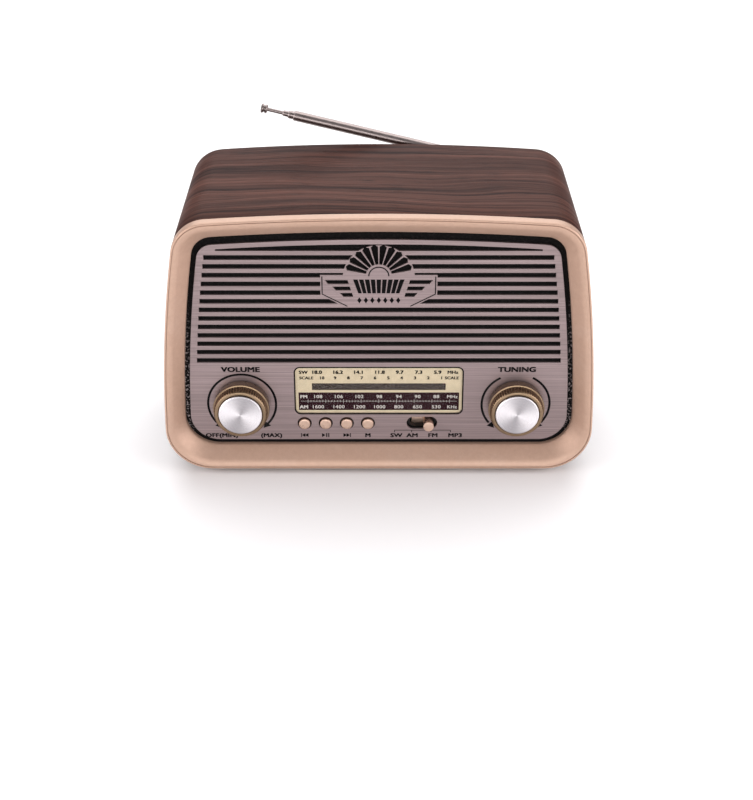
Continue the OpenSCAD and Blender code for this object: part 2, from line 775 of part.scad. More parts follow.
ferrite_y = y_back_in - 16;
ferrite_z = body_h - wall - 13;
ferrite_half = 42;

module ferrite_rod() {
    color("#3d3a3a") rod_x(ferrite_y, ferrite_z, 5, -ferrite_half - 14, ferrite_half - 14);
}

module ferrite_coil() {
    color("#b56a35") difference() {
        rod_x(ferrite_y, ferrite_z, 6.2, -24, 2);
        rod_x(ferrite_y, ferrite_z, 5 + fit, -25, 3);
    }
}

module ferrite_holders() {
    color("#dcd8cc") for (x = [-ferrite_half - 8, ferrite_half - 24]) difference() {
        block(x, x + 4, ferrite_y - 8, y_back_in, ferrite_z - 8, ferrite_z + 7);
        rod_x(ferrite_y, ferrite_z, 5 + fit, x - 1, x + 5);
    }
}

// ---------- rear sockets ----------

module port_board() {
    color("#2f6b3f") difference() {
        upright(sockets_y - board_t, sockets_y) translate([(aux_x + usb_at[0]) / 2, aux_z + 1])
            square([aux_x - usb_at[0] + 32, 24], center = true);
        for (x = [usb_at[0] - 10, aux_x + 9]) rod_y([x, aux_z + 7], 1, sockets_y - 3, sockets_y + 1);
    }
}

module aux_jack() {
    at = [aux_x, aux_z];
    color("#1d1d1f") difference() {
        union() {
            block(aux_x - 4.5, aux_x + 4.5, sockets_y, y_back_in - 0.1, aux_z - 4, aux_z + 4);
            rod_y(at, 3.1, y_back_in - e, y_back_out);
            spun(at, [[0, y_back_out - 0.1], [3.1, y_back_out - 0.1], [3.1, y_back_out],
                [4.45, y_back_out], [4.45, y_back_out + 0.3], [0, y_back_out + 0.3]]);
        }
        rod_y(at, aux_r, y_back_in - 10, y_back_out + 1);
    }
}

module dc_jack() {
    color("#1d1d1f") union() {
        difference() {
            union() {
                block(dc_at[0] - 5, dc_at[0] + 5, sockets_y, y_back_in - 0.1,
                    dc_at[1] - 4.6, dc_at[1] + 4.6);
                rod_y(dc_at, 4.1, y_back_in - e, y_back_out);
                rod_y(dc_at, 4.6, y_back_out, y_back_out + 0.3);
            }
            rod_y(dc_at, 3.05, y_back_in - 8, y_back_out + 1);
        }
        rod_y(dc_at, 1, y_back_in - 9, y_back_out - 1);
    }
}

module usb_port() {
    x = usb_at[0];
    z = usb_at[1];
    color("#c9ccd0") union() {
        difference() {
            union() {
                upright(sockets_y, y_back_out) rounded_at(usb_at, 13.3, 5.8, 0.5);
                upright(y_back_out, y_back_out + 0.3) rounded_at(usb_at, 14.9, 7.5, 0.8);
            }
            upright(y_back_out - 12, y_back_out + 1) rounded_at(usb_at, 12.5, 5, 0.3);
        }
        block(x - 5.6, x + 5.6, sockets_y + 1, y_back_out - 1, z + 0.2, z + 2);
    }
}

module card_slot() {
    color("#1d1d1f") difference() {
        union() {
            upright(sockets_y, y_back_out) rounded_at(card_at, 13.3, 2.3, 0.3);
            upright(y_back_out, y_back_out + 0.3) rounded_at(card_at, 15.8, 4.1, 0.6);
        }
        upright(y_back_out - 11, y_back_out + 1) square_at(card_at, 12.2, 1.3);
    }
}

module square_at(p, w, h) {
    translate(p) square([w, h], center = true);
}

module charge_led() {
    color("#d84a3a") union() {
        rod_y(led_at, 0.8, y_back_in - 2, y_back_out);
        rod_y(led_at, 1.5, sockets_y, y_back_in - 1);
    }
}

// ---------- battery ----------

module battery_tray() {
    floor_y = cell_y - cell_r - 1;
    h = 2 * cell_r + 5;
    color("#2a2a2c") difference() {
        block(-tray_half - tray_wall, tray_half + tray_wall, floor_y - tray_wall, y_back_in,
            cell_z - h / 2 - tray_wall, cell_z + h / 2 + tray_wall);
        block(-tray_half, tray_half, floor_y, y_back_in + e, cell_z - h / 2, cell_z + h / 2);
    }
}

module battery_cell() {
    color("#3f6fb0") union() {
        rod_x(cell_y, cell_z, cell_r, -cell_l / 2, cell_l / 2 - 1);
        rod_x(cell_y, cell_z, 3, cell_l / 2 - 2, cell_l / 2);
    }
}

module battery_contacts() {
    color("#c9ccd0") for (side = [0, 1]) mirror([side, 0, 0]) {
        block(tray_half - 0.4, tray_half, cell_y - 5, cell_y + 5, cell_z - 6, cell_z + 6);
        difference() {
            rod_x(cell_y, cell_z, 2.4, cell_l / 2, tray_half);
            rod_x(cell_y, cell_z, 1.8, cell_l / 2 + 0.6, tray_half + 1);
        }
    }
}

module battery_door() {
    w = door_half - gap;
    top = door_low + door_h - gap;
    color("#4c3128") union() {
        difference() {
            block(-w, w, y_back_in, y_back_out, door_hinge_z, top);
            rod_y([0, top - 4], 5, y_back_out - 0.8, y_back_out + e);
        }
        rod_x(door_hinge_y, door_hinge_z, baffle_t / 2, -w, w);
        rod_x(door_hinge_y, door_hinge_z, 0.9, -door_half - 2.6, door_half + 2.6);
    }
}

// ---------- antenna ----------

// Puts a shape drawn along -X from the origin at the antenna pivot, at its rest angle.
module at_pivot() {
    translate([pivot_x, pivot_y, pivot_z]) rotate([0, antenna_angle, 0]) children();
}

module along(r, x0, x1) {
    translate([-x1, 0, 0]) rotate([0, 90, 0]) cylinder(h = x1 - x0, r = r);
}

swivel_r = 2;
cheek_w = 2 * pivot_back - 0.6;
module antenna_bush() {
    color("#2a2a2c") difference() {
        union() {
            rod_y([pivot_x, pivot_z], 3.5, y_back_in - 1, y_back_out);
            rod_y([pivot_x, pivot_z], 6, y_back_out, y_rear + 1);
            rod_y([pivot_x, pivot_z], 5.5, y_back_in - 3, y_back_in);
        }
        rod_y([pivot_x, pivot_z], swivel_r + fit, y_back_in - 4, y_rear + 2);
    }
}

module antenna_swivel() {
    seat = y_rear + 1 + gap;
    color("#c9ccd0") union() {
        rod_y([pivot_x, pivot_z], swivel_r, y_back_in - 4.5, seat + 0.5);
        rod_y([pivot_x, pivot_z], 4, y_back_in - 4.5, y_back_in - 3 - gap);
        rod_y([pivot_x, pivot_z], 4.4, seat, seat + 1);
        at_pivot() {
            for (z = [-3, 1.7]) translate([0, 0, z]) linear_extrude(1.3) {
                circle(pivot_back);
                translate([-cheek_w / 2, seat + 0.3 - pivot_y]) square([cheek_w, pivot_y - seat]);
            }
            translate([0, 0, -3.2]) cylinder(h = 6.4, r = 1);
        }
    }
}

module antenna_tube_1() {
    color("#8d8183") at_pivot() difference() {
        union() {
            along(antenna_r, knuckle_l, tube_end);
            translate([0, 0, -1.4]) cylinder(h = 2.8, r = pivot_back - 0.3);
            translate([-knuckle_l - 0.5, -1.8, -1.4]) cube([knuckle_l + 0.5, 3.6, 2.8]);
        }
        along(antenna_r - antenna_step + fit, knuckle_l + 2, tube_end + 1);
        translate([0, 0, -3]) cylinder(h = 6, r = 1 + fit);
    }
}

// Inner tube number i, counted from the outer one.
module inner_tube(i) {
    r = antenna_r - i * antenna_step;
    color("#b9aeb0") at_pivot() difference() {
        along(r, knuckle_l + 2 + 2 * i, tube_end + i * stub_l);
        along(r - antenna_step + fit, knuckle_l + 1 + 2 * i, tube_end + i * stub_l + 1);
    }
}

module antenna_tube_2() { inner_tube(1); }
module antenna_tube_3() { inner_tube(2); }

module antenna_rod() {
    end = antenna_l - tip_l;
    color("#b9aeb0") at_pivot() {
        along(antenna_r - 3 * antenna_step, knuckle_l + 8, end + 0.5);
        translate([-antenna_l, 0, 0]) rotate([0, 90, 0]) rotate_extrude($fn = 48)
            polygon([[0, 0], [1.9, 0], [2.4, 0.5], [2.4, 1.2], [1.8, 1.5], [1.8, 2], [2.4, 2.3], [2.4, 3],
                [1.9, tip_l], [0, tip_l]]);
    }
}

// ---------- leads ----------

lead_r = 0.7;
module internal_leads() {
    y = y_board + board_t;
    color("#b8322a") {
        for (s = [-1, 1])
            tube([[s * 2, magnet_y + 3, speaker_z - 19.8], [s * 2, magnet_y + 4, speaker_z - 24],
                [s * 3, magnet_y, dial_high + 5], [s * 4, y + 6, knob_z + 14], [s * 4, y + 3, knob_z + 11],
                [s * 4, y, knob_z + 11]], lead_r, [1, 0, 0]);
        for (s = [-1, 1])
            tube([[s * (tray_half + 3), cell_y, cell_z], [s * (tray_half + 3), cell_y - 16, cell_z],
                [s * (tray_half - 4), y + 8, cell_z - 4], [s * (tray_half - 6), y + 3, cell_z - 6],
                [s * (tray_half - 6), y, cell_z - 6]], lead_r, [1, 0, 0]);
        tube([[pivot_x, y_back_in - 3.7, pivot_z - 6.5], [pivot_x, y_back_in - 12, pivot_z - 9],
            [pivot_x + 2, y_back_in - 30, pivot_z - 30], [pivot_x - 2, y + 12, knob_z + 22],
            [pivot_x - 6, y + 3, knob_z + 11], [pivot_x - 6, y, knob_z + 11]], lead_r, [1, 0, 0]);
    }
}

cabinet();
front_bezel();
speaker_cloth();
front_baffle();
corner_posts();
face_panel();
dial_scale();
dial_lens();
rear_panel();
rear_screws();
feet();
speaker_frame();
speaker_magnet();
speaker_cone();
speaker_surround();
speaker_screws();
main_board();
chassis_screws();
board_components();
volume_pot();
volume_shaft();
volume_knob();
volume_knob_cap();
tuning_bush();
tuning_spindle();
tuning_knob();
tuning_knob_cap();
tuning_bracket();
tuning_capacitor();
dial_drum();
dial_cord();
pointer_rail();
dial_pointer();
previous_button();
play_button();
next_button();
mode_button();
tact_switches();
band_switch();
band_lever();
ferrite_rod();
ferrite_coil();
ferrite_holders();
port_board();
aux_jack();
dc_jack();
usb_port();
card_slot();
charge_led();
battery_tray();
battery_cell();
battery_contacts();
battery_door();
antenna_bush();
antenna_swivel();
antenna_tube_1();
antenna_tube_2();
antenna_tube_3();
antenna_rod();
internal_leads();
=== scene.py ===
# %% [markdown]
# # A retro tabletop radio
# The imported model is the frame: every size and place below is read from it. The frame's
# plain solids are then dressed, one piece at a time, as the real radio is finished.
# The frame's nodes and its record are kept together, for the pieces below to read.

# %% Load the frame
import json
import math

import bmesh
import bpy
from mathutils import Matrix, Vector


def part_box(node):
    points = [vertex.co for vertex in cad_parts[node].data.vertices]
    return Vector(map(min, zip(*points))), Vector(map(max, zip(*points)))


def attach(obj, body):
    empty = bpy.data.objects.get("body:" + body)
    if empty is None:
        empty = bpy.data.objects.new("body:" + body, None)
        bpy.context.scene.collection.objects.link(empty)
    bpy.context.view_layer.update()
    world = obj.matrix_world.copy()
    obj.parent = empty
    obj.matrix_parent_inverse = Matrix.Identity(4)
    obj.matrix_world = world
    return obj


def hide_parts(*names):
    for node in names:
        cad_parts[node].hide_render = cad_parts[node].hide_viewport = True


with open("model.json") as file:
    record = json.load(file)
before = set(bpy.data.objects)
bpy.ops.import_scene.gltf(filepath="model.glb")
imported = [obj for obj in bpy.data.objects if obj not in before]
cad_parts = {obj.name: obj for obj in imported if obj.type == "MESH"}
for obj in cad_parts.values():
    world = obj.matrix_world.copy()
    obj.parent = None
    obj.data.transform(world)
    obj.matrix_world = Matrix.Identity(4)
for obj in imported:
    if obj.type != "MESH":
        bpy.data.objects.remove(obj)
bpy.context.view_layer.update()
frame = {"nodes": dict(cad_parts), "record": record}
MM = 0.001

# %% [markdown]
# The camera stands about 60 cm in front of the radio and 40 cm up, and looks down on it as
# somebody at the table does. From so near, the top narrows clearly towards the back. The lens
# is shifted down instead of tilting the camera more: upright edges keep their slope, and the
# radio stands above the middle of the view with open floor in front.

# %% Camera
face_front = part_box("face_panel")[0].y
CAMERA_BACK = 0.59955
CAMERA_HEIGHT = 0.39473
CAMERA_DOWN = math.radians(26.46)

camera_data = bpy.data.cameras.new("shop_camera")
camera_data.sensor_width = 36
camera_data.lens = 65.26
camera_data.shift_x = -0.0029
camera_data.shift_y = -0.1375
camera = bpy.data.objects.new("shop_camera", camera_data)
camera.location = (0, face_front - CAMERA_BACK, CAMERA_HEIGHT)
camera.rotation_euler = (math.pi / 2 - CAMERA_DOWN, 0, 0)
bpy.context.scene.collection.objects.link(camera)
bpy.context.scene.camera = camera
print("camera is", round(CAMERA_BACK, 3), "m in front of the face")

# %% [markdown]
# A white floor and large soft lights give an even look with soft shadows. The two side lights
# draw bright edges on the curved cabinet walls, the top light shows the wood grain, and the
# light behind serves the views of the back. Area lights are used, because a wide light softens
# both the shadow and the highlight.

# %% Floor and lights
def plain_material(name, colour, roughness):
    material = bpy.data.materials.new(name)
    material.use_nodes = True
    shader = material.node_tree.nodes["Principled BSDF"]
    shader.inputs["Base Color"].default_value = (*colour, 1)
    shader.inputs["Roughness"].default_value = roughness
    return material


def object_from(name, bm):
    """Turns a finished bmesh into an object at the origin."""
    mesh = bpy.data.meshes.new(name)
    bm.to_mesh(mesh)
    bm.free()
    piece = bpy.data.objects.new(name, mesh)
    bpy.context.scene.collection.objects.link(piece)
    return piece


def make_floor():
    bm = bmesh.new()
    bmesh.ops.create_grid(bm, x_segments=2, y_segments=2, size=6)
    floor = object_from("floor", bm)
    floor.data.materials.append(plain_material("floor_white", (0.93, 0.925, 0.93), 0.7))


def area_light(name, place, target, width, height, power, colour=(1, 1, 1)):
    data = bpy.data.lights.new(name, "AREA")
    data.shape = "RECTANGLE"
    data.size = width
    data.size_y = height
    data.energy = power
    data.color = colour
    light = bpy.data.objects.new(name, data)
    light.location = place
    light.rotation_euler = (Vector(target) - Vector(place)).to_track_quat("-Z", "Y").to_euler()
    bpy.context.scene.collection.objects.link(light)


def make_light():
    aim = (0, 0, 0.07)
    area_light("top_box", (0, 0.5, 1.2), aim, 1.8, 1.1, 17)
    area_light("front_box", (0, -1.7, 0.32), aim, 1.8, 0.7, 12)
    area_light("left_strip", (-1.0, -0.45, 0.4), aim, 0.9, 0.9, 8, (1, 0.97, 0.98))
    area_light("right_strip", (1.0, -0.45, 0.4), aim, 0.9, 0.9, 10, (1, 0.97, 0.98))
    area_light("back_box", (0, 1.5, 0.8), aim, 1.6, 0.7, 7)
    world = bpy.data.worlds.new("studio")
    world.use_nodes = True
    world.node_tree.nodes["Background"].inputs["Color"].default_value = (0.96, 0.95, 0.97, 1)
    world.node_tree.nodes["Background"].inputs["Strength"].default_value = 0.35
    bpy.context.scene.world = world
    bpy.context.scene.view_settings.view_transform = "Standard"


make_floor()
make_light()
print("stage is ready")

# %% [markdown]
# Materials are small node trees. They could be wired by hand in the editor, but helpers keep
# them short here: `add` makes a node and plugs its inputs, `new_group` starts a shared effect
# with named sockets, and `finish_of` makes a material whose constant values sit on the
# Principled shader itself.

# %% Node helpers
def add(tree, kind, inputs=None, **settings):
    node = tree.nodes.new(kind)
    for key, value in settings.items():
        setattr(node, key, value)
    for key, value in (inputs or {}).items():
        if isinstance(value, bpy.types.NodeSocket):
            tree.links.new(value, node.inputs[key])
        else:
            node.inputs[key].default_value = value
    return node


def new_group(name, numbers, colours=(), out_numbers=(), out_colours=()):
    tree = bpy.data.node_groups.new(name, "ShaderNodeTree")
    tree.interface.new_socket("Vector", in_out="INPUT", socket_type="NodeSocketVector")
    for key, value in numbers.items():
        socket = tree.interface.new_socket(key, in_out="INPUT", socket_type="NodeSocketFloat")
        socket.default_value = value
    for key in colours:
        tree.interface.new_socket(key, in_out="INPUT", socket_type="NodeSocketColor")
    for key in out_colours:
        tree.interface.new_socket(key, in_out="OUTPUT", socket_type="NodeSocketColor")
    for key in out_numbers:
        tree.interface.new_socket(key, in_out="OUTPUT", socket_type="NodeSocketFloat")
    return tree, tree.nodes.new("NodeGroupInput"), tree.nodes.new("NodeGroupOutput")


def stretched(tree, vector, scale):
    return add(tree, "ShaderNodeMapping", {"Vector": vector, "Scale": scale}).outputs["Vector"]


def noise(tree, vector, scale, detail=3.0, roughness=0.5):
    values = {"Vector": vector, "Scale": scale, "Detail": detail, "Roughness": roughness}
    return add(tree, "ShaderNodeTexNoise", values).outputs["Fac"]


def remap(tree, value, low, high, to_low=0.0, to_high=1.0):
    values = {"Value": value, "From Min": low, "From Max": high, "To Min": to_low, "To Max": to_high}
    return add(tree, "ShaderNodeMapRange", values).outputs["Result"]


def maths(tree, operation, a, b):
    return add(tree, "ShaderNodeMath", {0: a, 1: b}, operation=operation).outputs[0]


def blended(tree, factor, a, b):
    node = add(tree, "ShaderNodeMix", data_type="RGBA")
    for index, value in ((0, factor), (6, a), (7, b)):
        if isinstance(value, bpy.types.NodeSocket):
            tree.links.new(value, node.inputs[index])
        elif index:
            node.inputs[index].default_value = (*value, 1)
        else:
            node.inputs[index].default_value = value
    return node.outputs[2]


def placed(tree, group, vector, **values):
    node = add(tree, "ShaderNodeGroup", node_tree=group)
    tree.links.new(vector, node.inputs["Vector"])
    for key, value in values.items():
        node.inputs[key.replace("_", " ")].default_value = value
    return node


def finish_of(name, **constants):
    material = bpy.data.materials.new(name)
    material.use_nodes = True
    tree = material.node_tree
    shader = tree.nodes["Principled BSDF"]
    for key, value in constants.items():
        socket = shader.inputs[key.replace("_", " ")]
        socket.default_value = (*value, 1) if isinstance(value, tuple) else value
    where = add(tree, "ShaderNodeTexCoord")
    return material, tree, shader, where


def shade_of(colour, share):
    return tuple(channel * share for channel in colour)


def bumped(tree, shader, height, depth, strength=1.0):
    bump = add(tree, "ShaderNodeBump", {"Height": height, "Distance": depth, "Strength": strength})
    tree.links.new(bump.outputs["Normal"], shader.inputs["Normal"])


print("node helpers are ready")

# %% [markdown]
# Shared effects come next, each as one group, so that every finish that uses an effect gets
# the same one with values of its own. Wood film has long streaks, slow bands and short dark
# pores, all drawn out along the grain. Brushing is the same idea, much finer. Flecks stand for
# metallic paint and for the skin of moulded plastic. The weave crosses two sets of threads,
# and dust is a faint cloud that lightens a few patches.

# %% Shared effects
def make_grain():
    tree, source, out = new_group("wood_grain", {"Along": 5.0, "Across": 100.0},
                                  out_numbers=("Streak", "Pore"))
    inputs = {"X": source.outputs["Along"], "Y": source.outputs["Across"], "Z": source.outputs["Across"]}
    flow = add(tree, "ShaderNodeCombineXYZ", inputs)
    laid = add(tree, "ShaderNodeVectorMath", {0: source.outputs["Vector"], 1: flow.outputs[0]},
               operation="MULTIPLY").outputs[0]
    bend = noise(tree, stretched(tree, source.outputs["Vector"], (7, 14, 14)), 1.0, 2.0)
    shift = add(tree, "ShaderNodeCombineXYZ", {"Y": maths(tree, "MULTIPLY", bend, 3.2)})
    wavy = add(tree, "ShaderNodeVectorMath", {0: laid, 1: shift.outputs[0]}, operation="ADD").outputs[0]
    broad = noise(tree, wavy, 0.6, 3.0, 0.5)
    middle = noise(tree, stretched(tree, wavy, (1.0, 2.6, 2.6)), 1.0, 3.0, 0.6)
    fine = noise(tree, stretched(tree, wavy, (1.5, 9.0, 9.0)), 1.0, 2.0, 0.6)
    mixed = maths(tree, "ADD", maths(tree, "MULTIPLY", broad, 0.3), maths(tree, "MULTIPLY", middle, 0.4))
    mixed = maths(tree, "ADD", mixed, maths(tree, "MULTIPLY", fine, 0.3))
    pores = noise(tree, stretched(tree, wavy, (13.0, 17.0, 17.0)), 1.0, 1.0)
    tree.links.new(remap(tree, mixed, 0.40, 0.60), out.inputs["Streak"])
    tree.links.new(remap(tree, pores, 0.60, 0.70), out.inputs["Pore"])
    return tree


def make_brushing():
    tree, source, out = new_group("brushed_lines", {"Fineness": 1.0}, out_numbers=("Line", "Cloud"))
    long_lines = noise(tree, stretched(tree, source.outputs["Vector"], (14, 3200, 3200)), 1.0, 4.0, 0.7)
    clouds = noise(tree, stretched(tree, source.outputs["Vector"], (12, 60, 60)), 1.0, 2.0)
    tree.links.new(maths(tree, "MULTIPLY", long_lines, source.outputs["Fineness"]), out.inputs["Line"])
    tree.links.new(clouds, out.inputs["Cloud"])
    return tree


def make_flecks():
    tree, source, out = new_group("fine_flecks", {"Size": 2600.0}, out_numbers=("Fleck", "Mottle"))
    values = {"Vector": source.outputs["Vector"], "Scale": source.outputs["Size"]}
    cells = add(tree, "ShaderNodeTexVoronoi", values)
    spread = add(tree, "ShaderNodeSeparateColor", {"Color": cells.outputs["Color"]}).outputs["Red"]
    tree.links.new(spread, out.inputs["Fleck"])
    tree.links.new(noise(tree, source.outputs["Vector"], 420.0, 3.0, 0.6), out.inputs["Mottle"])
    return tree


def make_weave():
    tree, source, out = new_group("woven_threads", {"Thread": 0.00055}, out_numbers=("Height", "Painted Glint"))
    parts = add(tree, "ShaderNodeSeparateXYZ", {"Vector": source.outputs["Vector"]})

    def thread(axis):
        turns = maths(tree, "DIVIDE", maths(tree, "MULTIPLY", parts.outputs[axis], math.pi),
                      source.outputs["Thread"])
        return maths(tree, "ABSOLUTE", maths(tree, "SINE", turns, 0.0), 0.0)

    crossed = maths(tree, "MAXIMUM", maths(tree, "MULTIPLY", thread("X"), 0.8), thread("Z"))
    rough = noise(tree, source.outputs["Vector"], 1700.0, 2.0)
    tree.links.new(maths(tree, "MULTIPLY", crossed, rough), out.inputs["Height"])
    # Painted glints: bright specks picked from a fine noise, for the base colour.
    painted_glints = noise(tree, source.outputs["Vector"], 950.0, 1.0)
    tree.links.new(remap(tree, painted_glints, 0.52, 0.66), out.inputs["Painted Glint"])
    return tree


def make_dust():
    tree, source, out = new_group("settled_dust", {"Amount": 0.1}, out_numbers=("Mask",))
    cloud = remap(tree, noise(tree, source.outputs["Vector"], 55.0, 6.0, 0.65), 0.5, 0.8)
    speck = remap(tree, noise(tree, source.outputs["Vector"], 1500.0, 1.0), 0.66, 0.74)
    both = maths(tree, "ADD", maths(tree, "MULTIPLY", cloud, 0.6), maths(tree, "MULTIPLY", speck, 0.4))
    tree.links.new(maths(tree, "MULTIPLY", both, source.outputs["Amount"]), out.inputs["Mask"])
    return tree


grain = make_grain()
brushing = make_brushing()
flecks = make_flecks()
weave = make_weave()
dust = make_dust()
print("shared effects:", [g.name for g in bpy.data.node_groups])

# %% [markdown]
# The cabinet and the back are boards wrapped in a printed walnut film under satin lacquer.
# A picture of wood could be laid on, but it would repeat and show its joins. A pattern of
# streaks and pores has neither. Its gloss is low and even, and its grain has almost no depth.

# %% Wood film
def wood_film(name, light, dark, coordinates="UV"):
    material, tree, shader, where = finish_of(name, Specular_IOR_Level=0.08)
    vector = where.outputs[coordinates]
    wood = placed(tree, grain, vector)
    haze = placed(tree, dust, where.outputs["Object"], Amount=0.03)
    base = blended(tree, wood.outputs["Streak"], dark, light)
    pores = maths(tree, "MULTIPLY", wood.outputs["Pore"], 0.7)
    pored = blended(tree, pores, base, shade_of(dark, 0.3))
    colour = blended(tree, haze.outputs["Mask"], pored, (0.25, 0.17, 0.14))
    tree.links.new(colour, shader.inputs["Base Color"])
    tree.links.new(remap(tree, wood.outputs["Streak"], 0, 1, 0.6, 0.48), shader.inputs["Roughness"])
    bumped(tree, shader, maths(tree, "SUBTRACT", wood.outputs["Streak"], wood.outputs["Pore"]), 0.00004)
    return material


print("wood film is ready")

# %% [markdown]
# The bezel is sprayed with champagne metallic paint: the flecks shift its colour a little and
# break the highlight up. Knob grips, keys and antenna are plated instead, so they are fully
# metallic, and faint marks and dust keep the plating from looking new.

# %% Metallic paint and plating
def metallic_paint(name, colour, deep, metallic, roughness):
    material, tree, shader, where = finish_of(name, Metallic=metallic)
    fleck = placed(tree, flecks, where.outputs["Object"])
    haze = placed(tree, dust, where.outputs["Object"], Amount=0.06)
    paint = blended(tree, remap(tree, fleck.outputs["Mottle"], 0.3, 0.7), deep, colour)
    rare = maths(tree, "MULTIPLY", maths(tree, "POWER", fleck.outputs["Fleck"], 6.0), 0.2)
    bright = blended(tree, rare, paint, shade_of(colour, 1.25))
    dusty = blended(tree, haze.outputs["Mask"], bright, (0.9, 0.88, 0.86))
    tree.links.new(dusty, shader.inputs["Base Color"])
    tree.links.new(remap(tree, fleck.outputs["Fleck"], 0, 1, roughness - 0.03, roughness + 0.04),
                   shader.inputs["Roughness"])
    bumped(tree, shader, fleck.outputs["Fleck"], 0.000004, 0.4)
    return material


def plated(name, colour, roughness=0.16):
    material, tree, shader, where = finish_of(name, Metallic=1.0)
    marks = placed(tree, flecks, where.outputs["Object"], Size=900.0)
    haze = placed(tree, dust, where.outputs["Object"], Amount=0.15)
    tone = blended(tree, remap(tree, marks.outputs["Mottle"], 0.35, 0.7), shade_of(colour, 0.88), colour)
    dusty = blended(tree, haze.outputs["Mask"], tone, shade_of(colour, 0.7))
    tree.links.new(dusty, shader.inputs["Base Color"])
    tree.links.new(remap(tree, marks.outputs["Mottle"], 0.3, 0.7, roughness - 0.05, roughness + 0.08),
                   shader.inputs["Roughness"])
    return material


print("paint and plating are ready")

# %% [markdown]
# The face is brushed aluminium: long straight lines, so its highlight smears across them.
# The discs in the knobs are turned on a lathe, so their lines are rings. An anisotropic shader
# whose tangent follows the ring stretches the highlight. A slow wave of tone round the disc is
# painted highlight and shade: it lays a bow-tie fan into the disc's colour, whatever the light.

# %% Brushed and turned metal
def brushed_metal(name, colour, deep, roughness=0.34):
    material, tree, shader, where = finish_of(name, Metallic=0.75)
    lines = placed(tree, brushing, where.outputs["Object"])
    tone = remap(tree, lines.outputs["Line"], 0.35, 0.65)
    streaked = blended(tree, tone, deep, colour)
    cloudy = blended(tree, remap(tree, lines.outputs["Cloud"], 0.35, 0.7, 0.0, 0.25), streaked, deep)
    tree.links.new(cloudy, shader.inputs["Base Color"])
    tree.links.new(remap(tree, lines.outputs["Line"], 0.3, 0.7, roughness + 0.1, roughness - 0.08),
                   shader.inputs["Roughness"])
    bumped(tree, shader, lines.outputs["Line"], 0.00002, 0.6)
    return material


def spun_finish():
    """Fine turned rings: the piece's own UV runs round it, so the highlight fans out in a bow tie. A bow-tie
    fan of painted highlight and shade is also laid into the colour.
    """
    material, tree, shader, where = finish_of("spun_cap", Metallic=1.0, Anisotropic=0.85)
    rings = noise(tree, stretched(tree, where.outputs["UV"], (3.0, 260.0, 1.0)), 1.0, 3.0, 0.7)
    around = add(tree, "ShaderNodeSeparateXYZ", {"Vector": where.outputs["UV"]}).outputs["X"]
    # Painted highlight and shade: a cosine round the axis lightens two opposite fans of the disc and darkens
    # the two between, whatever the light.
    turn = maths(tree, "MULTIPLY", maths(tree, "ADD", around, 0.06), 4 * math.pi)
    painted_bow_tie = remap(tree, maths(tree, "COSINE", turn, 0.0), -1, 1)
    metal = blended(tree, rings, (0.74, 0.71, 0.73), (0.92, 0.89, 0.92))
    tree.links.new(blended(tree, painted_bow_tie, (0.42, 0.40, 0.42), metal), shader.inputs["Base Color"])
    tree.links.new(remap(tree, rings, 0.3, 0.7, 0.34, 0.24), shader.inputs["Roughness"])
    tangent = add(tree, "ShaderNodeTangent", direction_type="UV_MAP", uv_map="turning")
    tree.links.new(tangent.outputs[0], shader.inputs["Tangent"])
    bumped(tree, shader, rings, 0.00001, 0.5)
    return material


print("brushed and turned metal are ready")

# %% [markdown]
# Plastic, rubber and card share one finish with a fine moulded skin. Clear plastic is made
# with plain transparency over a dark base: real refraction would be slower and would veil the
# print behind it. The speaker cloth is black, with a coarse weave in its height. Its colour has
# painted shade in the hollows of the weave and painted glints at the two ends; behind the slots
# the glints are held down as painted shade.

# %% Plastics and cloth
def moulded(name, colour, roughness=0.5, depth=0.00003, shine=0.5):
    material, tree, shader, where = finish_of(name, Specular_IOR_Level=shine)
    skin = placed(tree, flecks, where.outputs["Object"], Size=1900.0)
    haze = placed(tree, dust, where.outputs["Object"], Amount=0.04)
    toned = blended(tree, remap(tree, skin.outputs["Mottle"], 0.3, 0.7), shade_of(colour, 0.86), colour)
    dusty = blended(tree, haze.outputs["Mask"], toned, (0.42, 0.41, 0.4))
    tree.links.new(dusty, shader.inputs["Base Color"])
    tree.links.new(remap(tree, skin.outputs["Mottle"], 0.3, 0.7, roughness - 0.07, roughness + 0.09),
                   shader.inputs["Roughness"])
    bumped(tree, shader, skin.outputs["Fleck"], depth, 0.4)
    return material


def lens_finish(name, alpha, colour):
    material, tree, shader, where = finish_of(name, Alpha=alpha, Base_Color=colour)
    smear = noise(tree, where.outputs["Object"], 140.0, 4.0)
    tree.links.new(remap(tree, smear, 0.3, 0.7, 0.05, 0.14), shader.inputs["Roughness"])
    return material


def cloth_finish():
    """Black threads, darker in the hollows of the weave as painted shade. Painted glints lighten the strips
    at the two ends, beside the face; over the middle, behind the slots, they are held down as painted shade.
    """
    material, tree, shader, where = finish_of("speaker_cloth", Roughness=0.85, Specular_IOR_Level=0.1)
    threads = placed(tree, weave, where.outputs["Object"])
    # Painted shade: the hollows between threads are darker in the colour than the tops of the threads.
    base = blended(tree, threads.outputs["Height"], (0.0012, 0.001, 0.001), (0.005, 0.004, 0.004))
    across = add(tree, "ShaderNodeSeparateXYZ", {"Vector": where.outputs["Object"]}).outputs["X"]
    # Painted shade: the glints are held near zero over the middle, behind the slots, where the cloth lies in
    # shadow.
    cloth_slot_shade = remap(tree, maths(tree, "ABSOLUTE", across, 0.0), 0.088, 0.092, 0.02, 1.0)
    painted_glints = maths(tree, "MULTIPLY", threads.outputs["Painted Glint"], cloth_slot_shade)
    # Painted glints: the specks lighten the base colour of the cloth.
    tree.links.new(blended(tree, painted_glints, base, (0.26, 0.22, 0.22)), shader.inputs["Base Color"])
    bumped(tree, shader, threads.outputs["Height"], 0.0003)
    return material


print("plastics and cloth are ready")

# %% [markdown]
# One table gives every finish its colours. The keys are the record's material slots, so each
# frame node finds its finish by the slot that it has there. One table is easier to tune than
# colours spread over the script, because neighbours are judged side by side.

